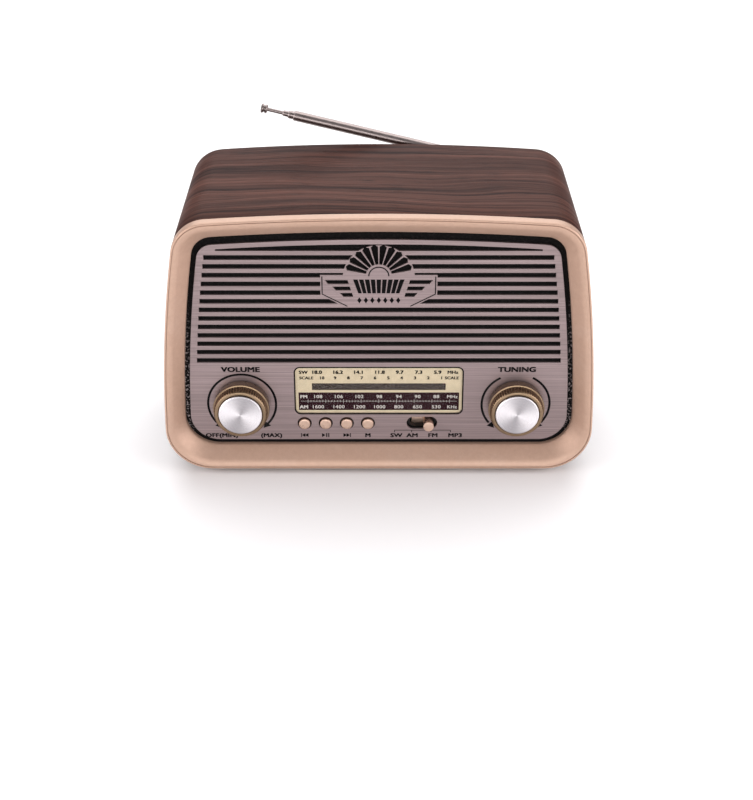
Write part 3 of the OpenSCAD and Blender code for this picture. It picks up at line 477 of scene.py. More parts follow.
# %% The table of finishes
looks = {
    "cabinet": wood_film("walnut_film", (0.100, 0.033, 0.021), (0.019, 0.006, 0.0045)),
    "bezel": metallic_paint("champagne_paint", (0.48, 0.315, 0.235), (0.445, 0.29, 0.216), 0.4, 0.45),
    "cloth": cloth_finish(),
    "black_plastic": moulded("black_moulding", (0.009, 0.0085, 0.009), 0.5, 0.00003, 0.2),
    "face_metal": brushed_metal("brushed_face", (0.33, 0.255, 0.255), (0.21, 0.162, 0.162), 0.42),
    "dial_print": moulded("scale_card", (0.66, 0.55, 0.37), 0.45, 0.00001),
    "dial_lens": lens_finish("clear_window", 0.06, (0.02, 0.02, 0.02)),
    "rear_film": wood_film("rear_walnut_film", (0.088, 0.036, 0.02), (0.026, 0.010, 0.006), "Object"),
    "rubber": moulded("foot_rubber", (0.012, 0.012, 0.012), 0.8, 0.00006),
    "knob_metal": plated("bronze_grip", (0.26, 0.18, 0.115), 0.3),
    "spun_metal": spun_finish(),
    "gold_plastic": plated("key_gold", (0.66, 0.47, 0.37), 0.3),
    "steel": plated("bright_plating", (0.72, 0.70, 0.70)),
    "dark_chrome": plated("smoked_plating", (0.30, 0.25, 0.24), 0.3),
    "screw_steel": brushed_metal("zinc_screw", (0.4, 0.4, 0.42), (0.25, 0.25, 0.27)),
    "ferrite": moulded("ferrite_core", (0.022, 0.02, 0.02), 0.6),
    "paper": moulded("paper_cone", (0.018, 0.017, 0.016), 0.9, 0.0001),
    "board": moulded("green_board", (0.02, 0.12, 0.045), 0.3),
    "component": moulded("black_component", (0.018, 0.018, 0.02), 0.35),
    "cream_plastic": moulded("cream_nylon", (0.72, 0.68, 0.58), 0.4),
    "pointer_red": moulded("pointer_red", (0.62, 0.06, 0.03), 0.35),
    "cord": moulded("dial_cord", (0.55, 0.48, 0.32), 0.8, 0.0001),
    "copper_wire": plated("copper_winding", (0.55, 0.22, 0.09), 0.35),
    "cell_wrap": moulded("cell_wrap", (0.04, 0.14, 0.4), 0.3),
    "lead_red": moulded("red_lead", (0.4, 0.02, 0.015), 0.4),
    "lamp_red": moulded("lamp_lens", (0.10, 0.012, 0.010), 0.25),
}
slot_of = {row["node"]: row["material_slot"] for row in frame["record"]["subparts"]}
for node_name, node in frame["nodes"].items():
    node.data.materials.clear()
    node.data.materials.append(looks[slot_of[node_name]])
print("finishes:", len(looks))

# %% [markdown]
# Most pieces are a closed outline carried along the depth of the radio, or a profile turned
# round an axis. `loft` extrudes a ring of edges through a row of loops, and `lathe` spins a
# profile. A stamped or moulded part whose holes matter is better taken from the frame, so
# `from_frame` cleans a copy of a node and eases its edges. `dress` gives a piece its body and
# its finish, and hides the frame node that it stands for.

# %% Shape helpers
def sharp_edges(bm, degrees):
    return [e for e in bm.edges if len(e.link_faces) == 2 and e.calc_face_angle(0) > math.radians(degrees)]


def to_piece(name, bm, sharp=35.0):
    """An object with faces that point outwards and smooth shading up to an angle in degrees."""
    bmesh.ops.recalc_face_normals(bm, faces=bm.faces)
    for face in bm.faces:
        face.smooth = True
    for edge in sharp_edges(bm, sharp):
        edge.smooth = False
    return object_from(name, bm)


def ring_of(bm, points, place):
    """Joins points into a closed ring of edges; place numbers them round the ring."""
    verts = [bm.verts.new(p) for p in points]
    for number, vert in enumerate(verts):
        vert[place] = number
    return [bm.edges.new((verts[i - 1], verts[i])) for i in range(len(verts))]


def loft(name, loops, closed=False, sharp=35.0):
    """Extrudes a ring of edges through a row of loops that have as many points as each other.
    A closed loft joins its last loop to its first; an open one is capped at both ends."""
    bm = bmesh.new()
    place = bm.verts.layers.int.new("place")
    edges = ring_of(bm, loops[0], place)
    if not closed:
        bmesh.ops.contextual_create(bm, geom=edges)
    for loop in loops[1:] + (loops[:1] if closed else []):
        made = bmesh.ops.extrude_edge_only(bm, edges=edges)["geom"]
        fresh = {part for part in made if isinstance(part, bmesh.types.BMVert)}
        for vert in fresh:
            vert.co = loop[vert[place]]
        edges = [part for part in made
                 if isinstance(part, bmesh.types.BMEdge) and fresh.issuperset(part.verts)]
    if closed:
        bmesh.ops.remove_doubles(bm, verts=bm.verts, dist=1e-7)
    else:
        bmesh.ops.contextual_create(bm, geom=edges)
    return to_piece(name, bm, sharp=sharp)


def lathe(name, profile, centre, steps=96, axis=(0, 1, 0), side=(1, 0, 0), sharp=35.0):
    """Spins (radius, distance) points round an axis through centre; radius 0 closes on the axis."""
    bm = bmesh.new()
    along, out, middle = Vector(axis).normalized(), Vector(side), Vector(centre)
    verts = [bm.verts.new(middle + out * r + along * d) for r, d in profile]
    edges = [bm.edges.new(pair) for pair in zip(verts, verts[1:])]
    bmesh.ops.spin(bm, geom=verts + edges, cent=middle, axis=along, angle=2 * math.pi, steps=steps,
                   use_merge=True, use_duplicate=False)
    bmesh.ops.remove_doubles(bm, verts=bm.verts, dist=1e-7)
    return to_piece(name, bm, sharp=sharp)


CUT_EDGE = 30.0
BROAD_FLAT = 2e-5


def from_frame(name, node, bevel=0.0, segments=2):
    """A copy of a frame node with its triangles merged to clean faces and its edges rounded.
    Broad flats are shaded flat, so that the small bends beside them can't tilt their light."""
    bm = bmesh.new()
    bm.from_mesh(frame["nodes"][node].data)
    bmesh.ops.remove_doubles(bm, verts=bm.verts, dist=2e-6)
    bmesh.ops.dissolve_limit(bm, angle_limit=math.radians(0.5), verts=bm.verts, edges=bm.edges)
    if bevel:
        bmesh.ops.bevel(bm, geom=sharp_edges(bm, CUT_EDGE), offset=bevel, segments=segments, profile=0.5,
                        affect="EDGES", clamp_overlap=True, material=-1)
    for face in bm.faces:
        face.smooth = face.calc_area() < BROAD_FLAT
    for edge in sharp_edges(bm, CUT_EDGE + 10):
        edge.smooth = False
    return object_from(name, bm)


body_of_node = {n: body for body, members in frame["record"]["behaviour"]["bodies"].items() for n in members}


def dress(piece, node, *others, look=None):
    slot = look or slot_of[node]
    piece.data.materials.clear()
    piece.data.materials.append(looks[slot])
    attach(piece, body_of_node[node])
    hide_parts(node, *others)
    return piece


def laid_on(piece, look):
    """Ink or a small fitting on the radio's body that stands for no node and has its own finish."""
    piece.data.materials.clear()
    piece.data.materials.append(looks[look])
    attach(piece, "radio")
    return piece


print("shape helpers are ready")

# %% [markdown]
# The front outline is four arcs on each side: a rounded lower corner, a long bulging side,
# a rounded top corner and a crowned top. Every loop has the same number of points, so
# neighbouring loops bridge cleanly, and one function serves the cabinet, the bezel and the
# rim of cloth.

# %% Outline of the radio
cabinet_low, cabinet_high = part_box("cabinet")
HALF_WIDTH = 0.1023
SIDE_R = 0.665
SIDE_Z = 0.015
CROWN_R = 1.150
side_x = HALF_WIDTH - SIDE_R
crown_z = cabinet_high.z - CROWN_R
floor_line = cabinet_low.z


def arc(cx, cz, r, start, end, steps):
    turns = [start + (end - start) * i / steps for i in range(steps + 1)]
    return [(cx + r * math.cos(t), cz + r * math.sin(t)) for t in turns]


def outline(side, top, low, r_top, r_low):
    """Closed loop of (x, z), drawn in from the sides, the top and the floor line."""
    low_z = floor_line + low + r_low
    low_x = side_x + math.sqrt((SIDE_R - side - r_low) ** 2 - (low_z - SIDE_Z) ** 2)
    ra, rb = SIDE_R - side - r_top, CROWN_R - top - r_top
    gap = Vector((-side_x, crown_z - SIDE_Z))
    along = gap.normalized()
    reach = (gap.length_squared + ra * ra - rb * rb) / (2 * gap.length)
    off = math.sqrt(ra * ra - reach * reach)
    high_x = side_x + along.x * reach - along.y * off
    high_z = SIDE_Z + along.y * reach + along.x * off
    a_low = math.atan2(low_z - SIDE_Z, low_x - side_x)
    a_high = math.atan2(high_z - SIDE_Z, high_x - side_x)
    a_top = math.atan2(high_z - crown_z, high_x)
    right = arc(low_x, low_z, r_low, -math.pi / 2, a_low, 20)
    right += arc(side_x, SIDE_Z, SIDE_R - side, a_low, a_high, 20)[1:-1]
    right += arc(high_x, high_z, r_top, a_high, a_top, 20)
    right += arc(0, crown_z, CROWN_R - top, a_top, math.pi / 2, 14)[1:]
    return right + [(-x, z) for x, z in right[-2::-1]]


OUTER = (0, 0, 0, 0.017, 0.022)
INNER = (0.009, 0.010, 0.010, 0.010, 0.016)


def between(t):
    """Outline a share t of the way from the outer edge of the bezel to its opening."""
    return outline(*(a + (b - a) * t for a, b in zip(OUTER, INNER)))


def inset(d):
    return outline(d, d, d, OUTER[3] - d, OUTER[4] - d)


def at_depth(loop, y):
    return [(x, y, z) for x, z in loop]


print("outline has", len(between(0)), "points")

# %% [markdown]
# The cabinet is a sleeve of board wrapped in walnut-print film, with the grain running round
# the wrap. It is a loft of outlines with its two edges eased. Its UV map measures the way
# round the sleeve and the depth in metres, so the grain turns the corners as the film does.

# %% Cabinet
def wrap_uv(piece):
    """UV in metres: u is the distance round the outline, v the depth."""
    mesh = piece.data
    loop = outline(*OUTER)
    travel = [0.0]
    for (x0, z0), (x1, z1) in zip(loop, loop[1:] + loop[:1]):
        travel.append(travel[-1] + math.hypot(x1 - x0, z1 - z0))
    place = mesh.attributes["place"].data
    layer = mesh.uv_layers.new(name="wrap")
    for face in mesh.polygons:
        corners = [(i, mesh.loops[i].vertex_index) for i in face.loop_indices]
        numbers = [place[v].value for i, v in corners]
        joins = max(numbers) - min(numbers) > 1
        for (i, v), number in zip(corners, numbers):
            u = travel[-1] if joins and number == 0 else travel[number]
            layer.data[i].uv = (u, mesh.vertices[v].co.y)


def make_cabinet():
    front, back = cabinet_low.y, cabinet_high.y
    ease, wall = 0.0006, 0.005
    stations = [(wall, front), (ease, front), (0.3 * ease, front + 0.3 * ease), (0, front + ease)]
    stations += [(0, front + (back - front) * i / 6) for i in range(1, 6)]
    stations += [(0, back - 2 * ease), (0.6 * ease, back - 0.6 * ease), (2 * ease, back), (wall, back)]
    loops = [at_depth(inset(d), y) for d, y in stations]
    piece = loft("cabinet_sleeve", loops, closed=True)
    wrap_uv(piece)
    return dress(piece, "cabinet")


make_cabinet()
print("cabinet is", round((cabinet_high.y - cabinet_low.y) / MM), "mm deep")

# %% [markdown]
# The bezel is one moulding: a side wall that meets the wood, a bright rounded rim, a fine
# groove, and a face that slopes in to the cloth. A bevelled solid would give one even round,
# so its section is a short list of stations instead, each a share of the way in and a depth.
# The loft carries them round the outline and closes on itself behind.

# %% Bezel
BEHIND_RIM = 0.0053


def make_bezel():
    low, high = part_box("front_bezel")
    rim, joint, lip, back = low.y, cabinet_low.y, face_front - 0.001, high.y
    stations = [
        (0, joint - 0.0001), (0, rim + 0.0016), (0.010, rim + 0.0009), (0.030, rim + 0.0004),
        (0.06, rim + 0.0001), (0.085, rim), (0.105, rim + 0.0001), (0.112, rim + 0.0007),
        (0.138, rim + 0.0007), (0.145, rim + 0.0002), (0.21, rim + 0.0003), (0.36, rim + 0.0007),
        (0.50, rim + 0.0019), (0.68, rim + 0.0037), (0.85, rim + 0.0055), (0.955, lip - 0.0003),
        (0.985, lip + 0.0001), (1.0, lip + 0.0005), (1.0, back)]
    loops = [at_depth(between(t), y) for t, y in stations]
    loops += [at_depth(inset(BEHIND_RIM), back), at_depth(inset(BEHIND_RIM), joint - 0.0001)]
    return dress(loft("bezel_moulding", loops, closed=True, sharp=50), "front_bezel")


make_bezel()
print("bezel is made")

# %% [markdown]
# Speaker cloth is a flat sheet stretched over the baffle behind the metal face. It shows in
# every slot and as a dark ring round the face. A plain rectangle would cover the openings for
# the dial, the keys and the shafts, so the frame's own cut sheet is copied, with its real
# thickness. The threads are in its finish.

# %% Speaker cloth
def make_cloth():
    piece = from_frame("speaker_cloth_sheet", "speaker_cloth")
    dress(piece, "speaker_cloth")


make_cloth()
print("cloth is stretched")

# %% [markdown]
# The face is one stamped sheet of brushed aluminium with its slots, emblem and holes cut
# through. The frame's plate is exact, so a merged copy of it is taken and its sharp cut
# edges are rounded a little, as a stamping's edges are.

# %% Face panel
dress(from_frame("face_plate", "face_panel", bevel=0.00018, segments=2), "face_panel")
print("face is dressed")

# %% [markdown]
# Lettering is screen-printed ink. It could be cut into the plate or painted by a mask, but
# thin flat shapes stay crisp. Each line of text is a flat curve turned into a mesh before it
# is placed, because a place must not ride on the object's own transform. The ink lies 0.03 mm
# proud of the surface, so it never flickers against it. Four copies of a word, a hair apart,
# make its strokes bold. Each lies 3 microns in front of the last, because copies in one plane
# would shade each other black. Print on the back faces the other way.

# %% Lettering helpers
PROUD = 0.03 * MM
INK_STEP = 0.003 * MM
CAPITAL = 0.729


def flat_text(text, height, spacing):
    """Centred text as a flat mesh in X and Y, with capital letters as tall as height."""
    curve = bpy.data.curves.new("lettering", "FONT")
    curve.body = text
    curve.align_x = "CENTER"
    curve.space_character = spacing
    curve.resolution_u = 3
    holder = bpy.data.objects.new("lettering", curve)
    bpy.context.scene.collection.objects.link(holder)
    bpy.context.view_layer.update()
    mesh = bpy.data.meshes.new_from_object(holder)
    bpy.data.objects.remove(holder)
    bpy.data.curves.remove(curve)
    mesh.transform(Matrix.Scale(height / CAPITAL, 4))
    return mesh


class Print:
    """Gathers flat shapes into one thin layer of ink, laid on a plane at depth y."""

    def __init__(self, name, y, back=False):
        self.name, self.y, self.back, self.bm = name, y, back, bmesh.new()

    def words(self, text, x, z, height, spacing=1.04, wide=1.0, bold=0.05):
        """A line of text centred on x and standing on z; bold is a share of its height."""
        mesh = flat_text(text, height, spacing)
        mesh.transform(Matrix.Diagonal((wide, 1, 1, 1)))
        facing = Matrix.Rotation(math.pi if self.back else 0, 4, "Z") @ Matrix.Rotation(math.pi / 2, 4, "X")
        mesh.transform(Matrix.Translation((x, self.y, z)) @ facing)
        nearer = INK_STEP if self.back else -INK_STEP
        for across, up in ((-1, -0.5), (2, 0), (0, 1), (-2, 0)):
            mesh.transform(Matrix.Translation((across * bold * height, nearer, up * bold * height)))
            self.bm.from_mesh(mesh)
        bpy.data.meshes.remove(mesh)

    def shape(self, points):
        """A filled shape from its corners, given as (x, z) in order."""
        verts = [self.bm.verts.new((x, self.y, z)) for x, z in points]
        face = self.bm.faces.new(verts)
        face.normal_update()
        if (face.normal.y > 0) != self.back:
            face.normal_flip()
        return face

    def bar(self, x0, x1, z0, z1):
        return self.shape([(x0, z0), (x1, z0), (x1, z1), (x0, z1)])

    def line(self, x0, z0, x1, z1, width):
        way = Vector((x1 - x0, z1 - z0)).normalized() * width / 2
        across = (-way.y, way.x)
        return self.shape([(x0 - across[0], z0 - across[1]), (x1 - across[0], z1 - across[1]),
                           (x1 + across[0], z1 + across[1]), (x0 + across[0], z0 + across[1])])

    def curve(self, x, z, radius, start, end, width, steps=48):
        """A printed arc between two angles in degrees, anticlockwise from the right."""
        turns = [math.radians(start + (end - start) * i / steps) for i in range(steps + 1)]
        for a, b in zip(turns, turns[1:]):
            inner, outer = radius - width / 2, radius + width / 2
            self.shape([(x + inner * math.cos(a), z + inner * math.sin(a)),
                        (x + outer * math.cos(a), z + outer * math.sin(a)),
                        (x + outer * math.cos(b), z + outer * math.sin(b)),
                        (x + inner * math.cos(b), z + inner * math.sin(b))])

    def arrow(self, x, z, radius, angle, way, size):
        """The head of an arrow at the end of an arc; way is 1 anticlockwise, -1 clockwise."""
        a = math.radians(angle)
        out = Vector((math.cos(a), math.sin(a)))
        ahead = Vector((-out.y, out.x)) * way
        base = Vector((x, z)) + out * radius
        corners = [base + out * size * 0.55, base - out * size * 0.55, base + ahead * size]
        self.shape([tuple(c) for c in corners])

    def done(self, look):
        bmesh.ops.remove_doubles(self.bm, verts=self.bm.verts, dist=1e-7)
        return laid_on(object_from(self.name, self.bm), look)


def round_rectangle(x, z, half_w, half_h, r, steps=6):
    """A rectangle with round corners, as a closed loop of (x, z)."""
    points = []
    for sx, sz, start in ((1, -1, -90), (1, 1, 0), (-1, 1, 90), (-1, -1, 180)):
        corner = (x + sx * (half_w - r), z + sz * (half_h - r))
        points += arc(*corner, r, math.radians(start), math.radians(start + 90), steps)
    return points


def middle_of(node):
    low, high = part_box(node)
    return (low + high) / 2


print("lettering helpers are ready")

# %% [markdown]
# Three parts of the face's print are drawn, not written: the transport signs under the keys,
# the badge among the slots, and the dark line round the dial window. Each is a few flat
# shapes of ink. Ink needs finishes of its own, with hardly any gloss, so that it stays dark
# when a light stands in front.

# %% Inks, signs and badge
looks["black_ink"] = moulded("black_ink", (0.004, 0.0036, 0.004), 0.6, 0.000005, 0.03)
looks["white_ink"] = moulded("white_ink", (0.62, 0.58, 0.54), 0.5, 0.000005, 0.15)
looks["maroon_ink"] = moulded("maroon_ink", (0.026, 0.0075, 0.011), 0.5, 0.000005, 0.05)
# Painted shade: a dark see-through finish for the strip that darkens the dial slot.
looks["slot_shade_pane"] = lens_finish("slot_shade_pane_finish", 0.62, (0.075, 0.056, 0.046))


def signs(ink, keys, z):
    """Back, play and pause, and forward signs under the first three keys."""
    tall, wide = 2.2 * MM, 1.7 * MM

    def head(x, way):
        ink.shape([(x, z), (x, z + tall), (x + way * wide, z + tall / 2)])

    for x in (0.2, 1.7):
        head(keys[0].x + x * MM, -1)
    ink.bar(keys[0].x - 1.9 * MM, keys[0].x - 1.5 * MM, z, z + tall)
    head(keys[1].x - 1.9 * MM, 1)
    for x in (0.1, 1.1):
        ink.bar(keys[1].x + x * MM, keys[1].x + (x + 0.55) * MM, z, z + tall)
    for x in (-1.7, -0.2):
        head(keys[2].x + x * MM, 1)
    ink.bar(keys[2].x + 1.5 * MM, keys[2].x + 1.9 * MM, z, z + tall)


def emblem_print(ink, z):
    """A plain sunrise badge: a hub and flutes under the rays, an outline and a row of diamonds."""
    def part(points):
        ink.shape([(x * MM, z + rise * MM) for x, rise in points])

    ink.curve(0, z + 1 * MM, 4.6 * MM, 0, 180, 0.6 * MM, steps=24)
    for side in (-1, 1):
        ink.line(side * 26.2 * MM, z + 0.9 * MM, side * 26.2 * MM, z - 8.2 * MM, 0.5 * MM)
        ink.line(side * 26.2 * MM, z - 8.2 * MM, side * 14.6 * MM, z - 14.5 * MM, 0.5 * MM)
    for i in range(-4, 5):
        left, right = 2.7 * i - 1.05, 2.7 * i + 1.05
        part([(left, -0.7), (right, -0.7), (right * 0.8, -7.8), (left * 0.8, -7.8)])
    for i in range(-3, 4):
        part([(3 * i - 1.0, -11.4), (3 * i, -13.0), (3 * i + 1.0, -11.4), (3 * i, -9.8)])


def window_rim(ink, x, z, half_w, half_h, r, width):
    """The dark line round the dial window, as a band between two rounded rectangles."""
    def loop(grow):
        return round_rectangle(x, z, half_w + grow, half_h + grow, r + grow, steps=8)

    inner, outer = loop(-0.1 * MM), loop(width)
    for i in range(len(inner)):
        ink.shape([inner[i - 1], outer[i - 1], outer[i], inner[i]])


print("inks are ready")

# %% [markdown]
# The print on the face says what each control does: an arc with arrow heads round each knob,
# and plain words by the knobs, under the last key and under the lever. Positions come from
# the frame's own knobs, keys and lever, so the print stays with them.

# %% Print on the face
ARC_R = 16.3 * MM
NAME_TALL = 2.65 * MM
LABEL_TALL = 2.2 * MM
WINDOW_R = 2.5


def print_face():
    ink = Print("face_print", face_front - PROUD)
    knob_l, knob_r = middle_of("volume_knob"), middle_of("tuning_knob")
    keys = [middle_of(name) for name in ("previous_button", "play_button", "next_button", "mode_button")]
    lever = middle_of("band_lever")
    for knob, stops in ((knob_l, ((-42, 222),)), (knob_r, ((-40, 62), (118, 220)))):
        for start, end in stops:
            ink.curve(knob.x, knob.z, ARC_R, start, end, 1.1 * MM)
    for knob in (knob_l, knob_r):
        ink.arrow(knob.x, knob.z, ARC_R, -42, -1, 3.4 * MM)
        ink.arrow(knob.x, knob.z, ARC_R, 222, 1, 3.4 * MM)
    label_z = keys[0].z - 7.9 * MM
    ink.words("VOLUME", knob_l.x, knob_l.z + 17.8 * MM, NAME_TALL, wide=1.25, bold=0.09)
    ink.words("TUNING", knob_r.x, knob_r.z + 17.8 * MM, NAME_TALL, wide=1.25, bold=0.09)
    ink.words("OFF(MIN)", knob_l.x - 10.5 * MM, label_z, LABEL_TALL, wide=1.2, bold=0.075)
    ink.words("(MAX)", knob_l.x + 13.6 * MM, label_z, LABEL_TALL, wide=1.2, bold=0.075)
    ink.words("M", keys[3].x, label_z, LABEL_TALL, wide=1.2, bold=0.075)
    signs(ink, keys, label_z)
    for text, step in (("SW", -12.6), ("AM", -4.8), ("FM", 5.2), ("MP3", 16.0)):
        ink.words(text, lever.x + (step - 2.9) * MM, label_z, LABEL_TALL, wide=1.25, bold=0.075)
    rail = lever.z - 4.15 * MM
    ink.bar(lever.x - 16.5 * MM, lever.x + 10.8 * MM, rail - 0.17 * MM, rail + 0.17 * MM)
    for x in (-16.5, -8.2, 1.2, 10.6):
        ink.bar(lever.x + x * MM, lever.x + (x + 0.34) * MM, rail - 1.2 * MM, rail)
    low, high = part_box("dial_lens")
    window_rim(ink, 0, (low.z + high.z) / 2, high.x, (high.z - low.z) / 2, WINDOW_R * MM, 0.55 * MM)
    emblem_print(ink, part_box("face_panel")[1].z - 19.4 * MM)
    return ink.done("black_ink")


print_face()
print("face is printed")

# %% [markdown]
# The dial is a printed card behind a clear window. Cream fills the upper half and a maroon
# band carries the two broadcast scales below. The slot in the card is open, so the pointer
# shows in it, and a dark see-through strip in the slot is painted shade: it darkens the works
# behind as if they lay in shadow. The card is the frame's, with a cream finish, and each colour
# of ink is a layer of its own. The window is lofted from rounded rectangles, so that its front
# edge is eased and catches the light.

# %% Dial card and window
FIGURE_TALL = 1.85 * MM
UNIT_TALL = 1.75 * MM
SCALE_TALL = 1.55 * MM


def print_dial():
    low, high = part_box("dial_scale")

    # Painted shade: this dark see-through strip over the slot stands for shadow on the works behind.
    strip = Print("dial_slot_shade_pane", (low.y + high.y) / 2)
    strip.bar(-32.4 * MM, 32.4 * MM, low.z + 12.2 * MM, low.z + 16.8 * MM)
    strip.done("slot_shade_pane")

    band = Print("dial_band", low.y - PROUD)
    band.bar(-38.5 * MM, 38.5 * MM, low.z + 1.5 * MM, low.z + 11.3 * MM)
    band.done("maroon_ink")

    black = Print("dial_black", low.y - PROUD)
    short_wave_z, scale_z = low.z + 21.6 * MM, low.z + 18.6 * MM
    figures = ("18.0", "16.2", "14.1", "11.8", "9.7", "7.3", "5.9")
    for x, text in zip((-29.6, -19.6, -9.7, 0.3, 9.9, 19.0, 28.0), figures):
        black.words(text, x * MM, short_wave_z, FIGURE_TALL, wide=1.12, bold=0.085)
    black.words("SW", -36.0 * MM, short_wave_z, UNIT_TALL, wide=1.15, bold=0.075)
    black.words("MHz", 35.2 * MM, short_wave_z, UNIT_TALL, wide=1.1, bold=0.075)
    for x in (-34.6, 34.8):
        black.words("SCALE", x * MM, scale_z, SCALE_TALL, wide=1.08, bold=0.07)
    for i in range(10):
        black.words(str(10 - i), (-27.2 + 6.35 * i) * MM, scale_z, 1.6 * MM, wide=1.1, bold=0.085)
    black.done("black_ink")

    light = Print("dial_figures", low.y - 2 * PROUD)
    rows = ((8.2, "FM", "MHz", ("108", "106", "102", "98", "94", "90", "88")),
            (2.5, "AM", "KHz", ("1600", "1400", "1200", "1000", "800", "650", "530")))
    for rise, name, unit, values in rows:
        z = low.z + rise * MM
        light.words(name, -36.0 * MM, z, UNIT_TALL, wide=1.15, bold=0.075)
        light.words(unit, 35.2 * MM, z, UNIT_TALL, wide=1.1, bold=0.03)
        for x, text in zip((-29.3, -19.4, -9.5, 0.2, 9.6, 18.6, 27.6), values):
            light.words(text, x * MM, z, FIGURE_TALL, wide=1.1, spacing=1.08, bold=0.03)
    ticks_z = low.z + 6.5 * MM
    light.bar(-37.5 * MM, 37.5 * MM, ticks_z - 0.07 * MM, ticks_z + 0.07 * MM)
    for i in range(49):
        tall = 0.95 if i % 6 == 0 else 0.5
        x = (-34 + i * 68 / 48) * MM
        light.bar(x - 0.09 * MM, x + 0.09 * MM, ticks_z - tall * MM, ticks_z + tall * MM)
    light.done("white_ink")


def make_window():
    """A clear acrylic pane with polished, rounded edges and a hair of air behind it."""
    low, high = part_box("dial_lens")
    mid = (low + high) / 2
    half_w, half_h, thick = high.x, (high.z - low.z) / 2, high.y - low.y - 0.1 * MM
    loops = []
    for d, share in ((0, 1), (0, 0.3), (0.08, 0.08), (0.3, 0)):
        ring = round_rectangle(mid.x, mid.z, half_w - d * MM, half_h - d * MM, (WINDOW_R - d) * MM, 8)
        loops.append(at_depth(ring, low.y + share * thick))
    dress(loft("dial_pane", loops), "dial_lens")


print_dial()
make_window()
print("dial is printed")

# %% [markdown]
# A knob is a plated plastic grip with a spun aluminium disc pressed into its front. The
# grip has a smooth rear skirt, a bead and a knurled band, so its section changes along the
# axis. A displaced cylinder would blur the teeth, so plain rings are bridged to toothed ones,
# which one loft does. The disc is lathed with very shallow rings, and its UV map runs round
# the axis, so that its finish can follow the turning marks.

# %% Knobs
def toothed(centre, radius, depth, y, teeth=60):
    """A ring of fine vee grooves; depth 0 gives a plain ring with the same points."""
    groove = (0, 0.15, 1, 0.15)
    points = []
    for i in range(4 * teeth):
        turn = 2 * math.pi * i / (4 * teeth)
        r = radius - depth * groove[i % 4]
        points.append((centre.x + r * math.cos(turn), y, centre.z + r * math.sin(turn)))
    return points


def make_knob(side):
    low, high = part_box(side + "_knob")
    mid = (low + high) / 2
    front, back = low.y, high.y
    r = (high.x - low.x) / 2 - 0.00025
    bead = back - 4.5 * MM
    hollow = back - 0.3 * MM
    skirt = [(r - 0.0105, 0, hollow), (r - 0.0006, 0, hollow), (r - 0.0003, 0, back),
             (r, 0, back - 0.0004), (r, 0, back - 0.0039), (r + 0.0002, 0, back - 0.0042)]
    band = [(r + 0.00025, 0, bead), (r + 0.00015, 0, bead - 0.0003), (r - 0.0004, 0, bead - 0.0005),
            (r - 0.00045, 0, bead - 0.0007), (r - 0.0003, 0.00012, bead - 0.0009),
            (r - 0.0003, 0.00048, bead - 0.0012), (r - 0.0005, 0.00048, front + 0.0010)]
    lip = [(r - 0.0008, 0.0002, front + 0.0006), (r - 0.0010, 0, front + 0.0003), (r - 0.0014, 0, front),
           (r - 0.0024, 0, front + 0.00005), (r - 0.0026, 0, front + 0.0003),
           (r - 0.0027, 0, front + 0.0013), (r - 0.0105, 0, front + 0.0014)]
    loops = [toothed(mid, radius, depth, y) for radius, depth, y in skirt + band + lip]
    dress(loft(side + "_grip", loops, closed=True, sharp=40), side + "_knob")

    disc_low, disc_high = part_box(side + "_knob_cap")
    radius = (disc_high.x - disc_low.x) / 2
    profile = [(radius, disc_high.y), (radius, disc_low.y + 0.0005), (radius - 0.00015, disc_low.y + 0.0002),
               (radius - 0.0005, disc_low.y), (radius - 0.0010, disc_low.y + 0.00004)]
    count = 26
    for i in range(1, count):
        share = 1 - i / count
        profile.append(((radius - 0.0010) * share, disc_low.y + (0.00004, 0.00006)[i % 2]))
    profile += [(0.0002, disc_low.y + 0.00005), (0, disc_low.y + 0.00005)]
    disc = lathe(side + "_disc", profile, (mid.x, 0, mid.z), steps=120, sharp=40)
    turn_uv(disc, mid)
    dress(disc, side + "_knob_cap")


def turn_uv(piece, mid):
    """UV for turned metal: u goes once round the axis, v is the distance from it in metres times ten."""
    layer = piece.data.uv_layers.new(name="turning")
    for face in piece.data.polygons:
        angles = []
        for i in face.loop_indices:
            co = piece.data.vertices[piece.data.loops[i].vertex_index].co
            angles.append((math.atan2(co.z - mid.z, co.x - mid.x) / (2 * math.pi)) % 1.0)
        for i, u in zip(face.loop_indices, angles):
            co = piece.data.vertices[piece.data.loops[i].vertex_index].co
            near = u + 1.0 if max(angles) - u > 0.5 else u
            layer.data[i].uv = (near, 10 * math.hypot(co.x - mid.x, co.z - mid.z))


for side in ("volume", "tuning"):
    make_knob(side)
print("knobs are made")

# %% [markdown]
# The four keys are small gold caps with a rounded face that slide in round holes. Each is
# turned from a short profile: the cap, the collar that stops it behind the face, and a plain
# stem, which nobody sees from outside. The lever's post has flat sides, so it is a merged
# copy of the frame's part with rounded edges.

# %% Keys and lever
def make_key(name):
    low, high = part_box(name)
    mid = (low + high) / 2
    cap_r = 2.8 * MM
    collar_r = (high.x - low.x) / 2
    collar = low.y + 6.0 * MM
    profile = [(0, low.y + 0.00004), (cap_r * 0.5, low.y), (cap_r * 0.8, low.y + 0.00003),
               (cap_r * 0.93, low.y + 0.00015), (cap_r * 0.985, low.y + 0.0004), (cap_r, low.y + 0.0008),
               (cap_r, collar), (collar_r, collar), (collar_r, collar + 0.0010),
               (cap_r * 0.6, collar + 0.0010), (cap_r * 0.6, high.y), (0, high.y)]
    dress(lathe(name + "_cap", profile, (mid.x, 0, mid.z), steps=64), name)


for name in ("previous_button", "play_button", "next_button", "mode_button"):
    make_key(name)
dress(from_frame("lever_post", "band_lever", bevel=0.0003, segments=3), "band_lever")
print("keys and lever are made")

# %% [markdown]
# The back panel and its battery door are the same film-covered board as the cabinet, so
# both are merged copies of the frame's parts with eased edges. Their grain is laid in one
# pattern on Object coordinates, and it runs unbroken from the panel across the door.

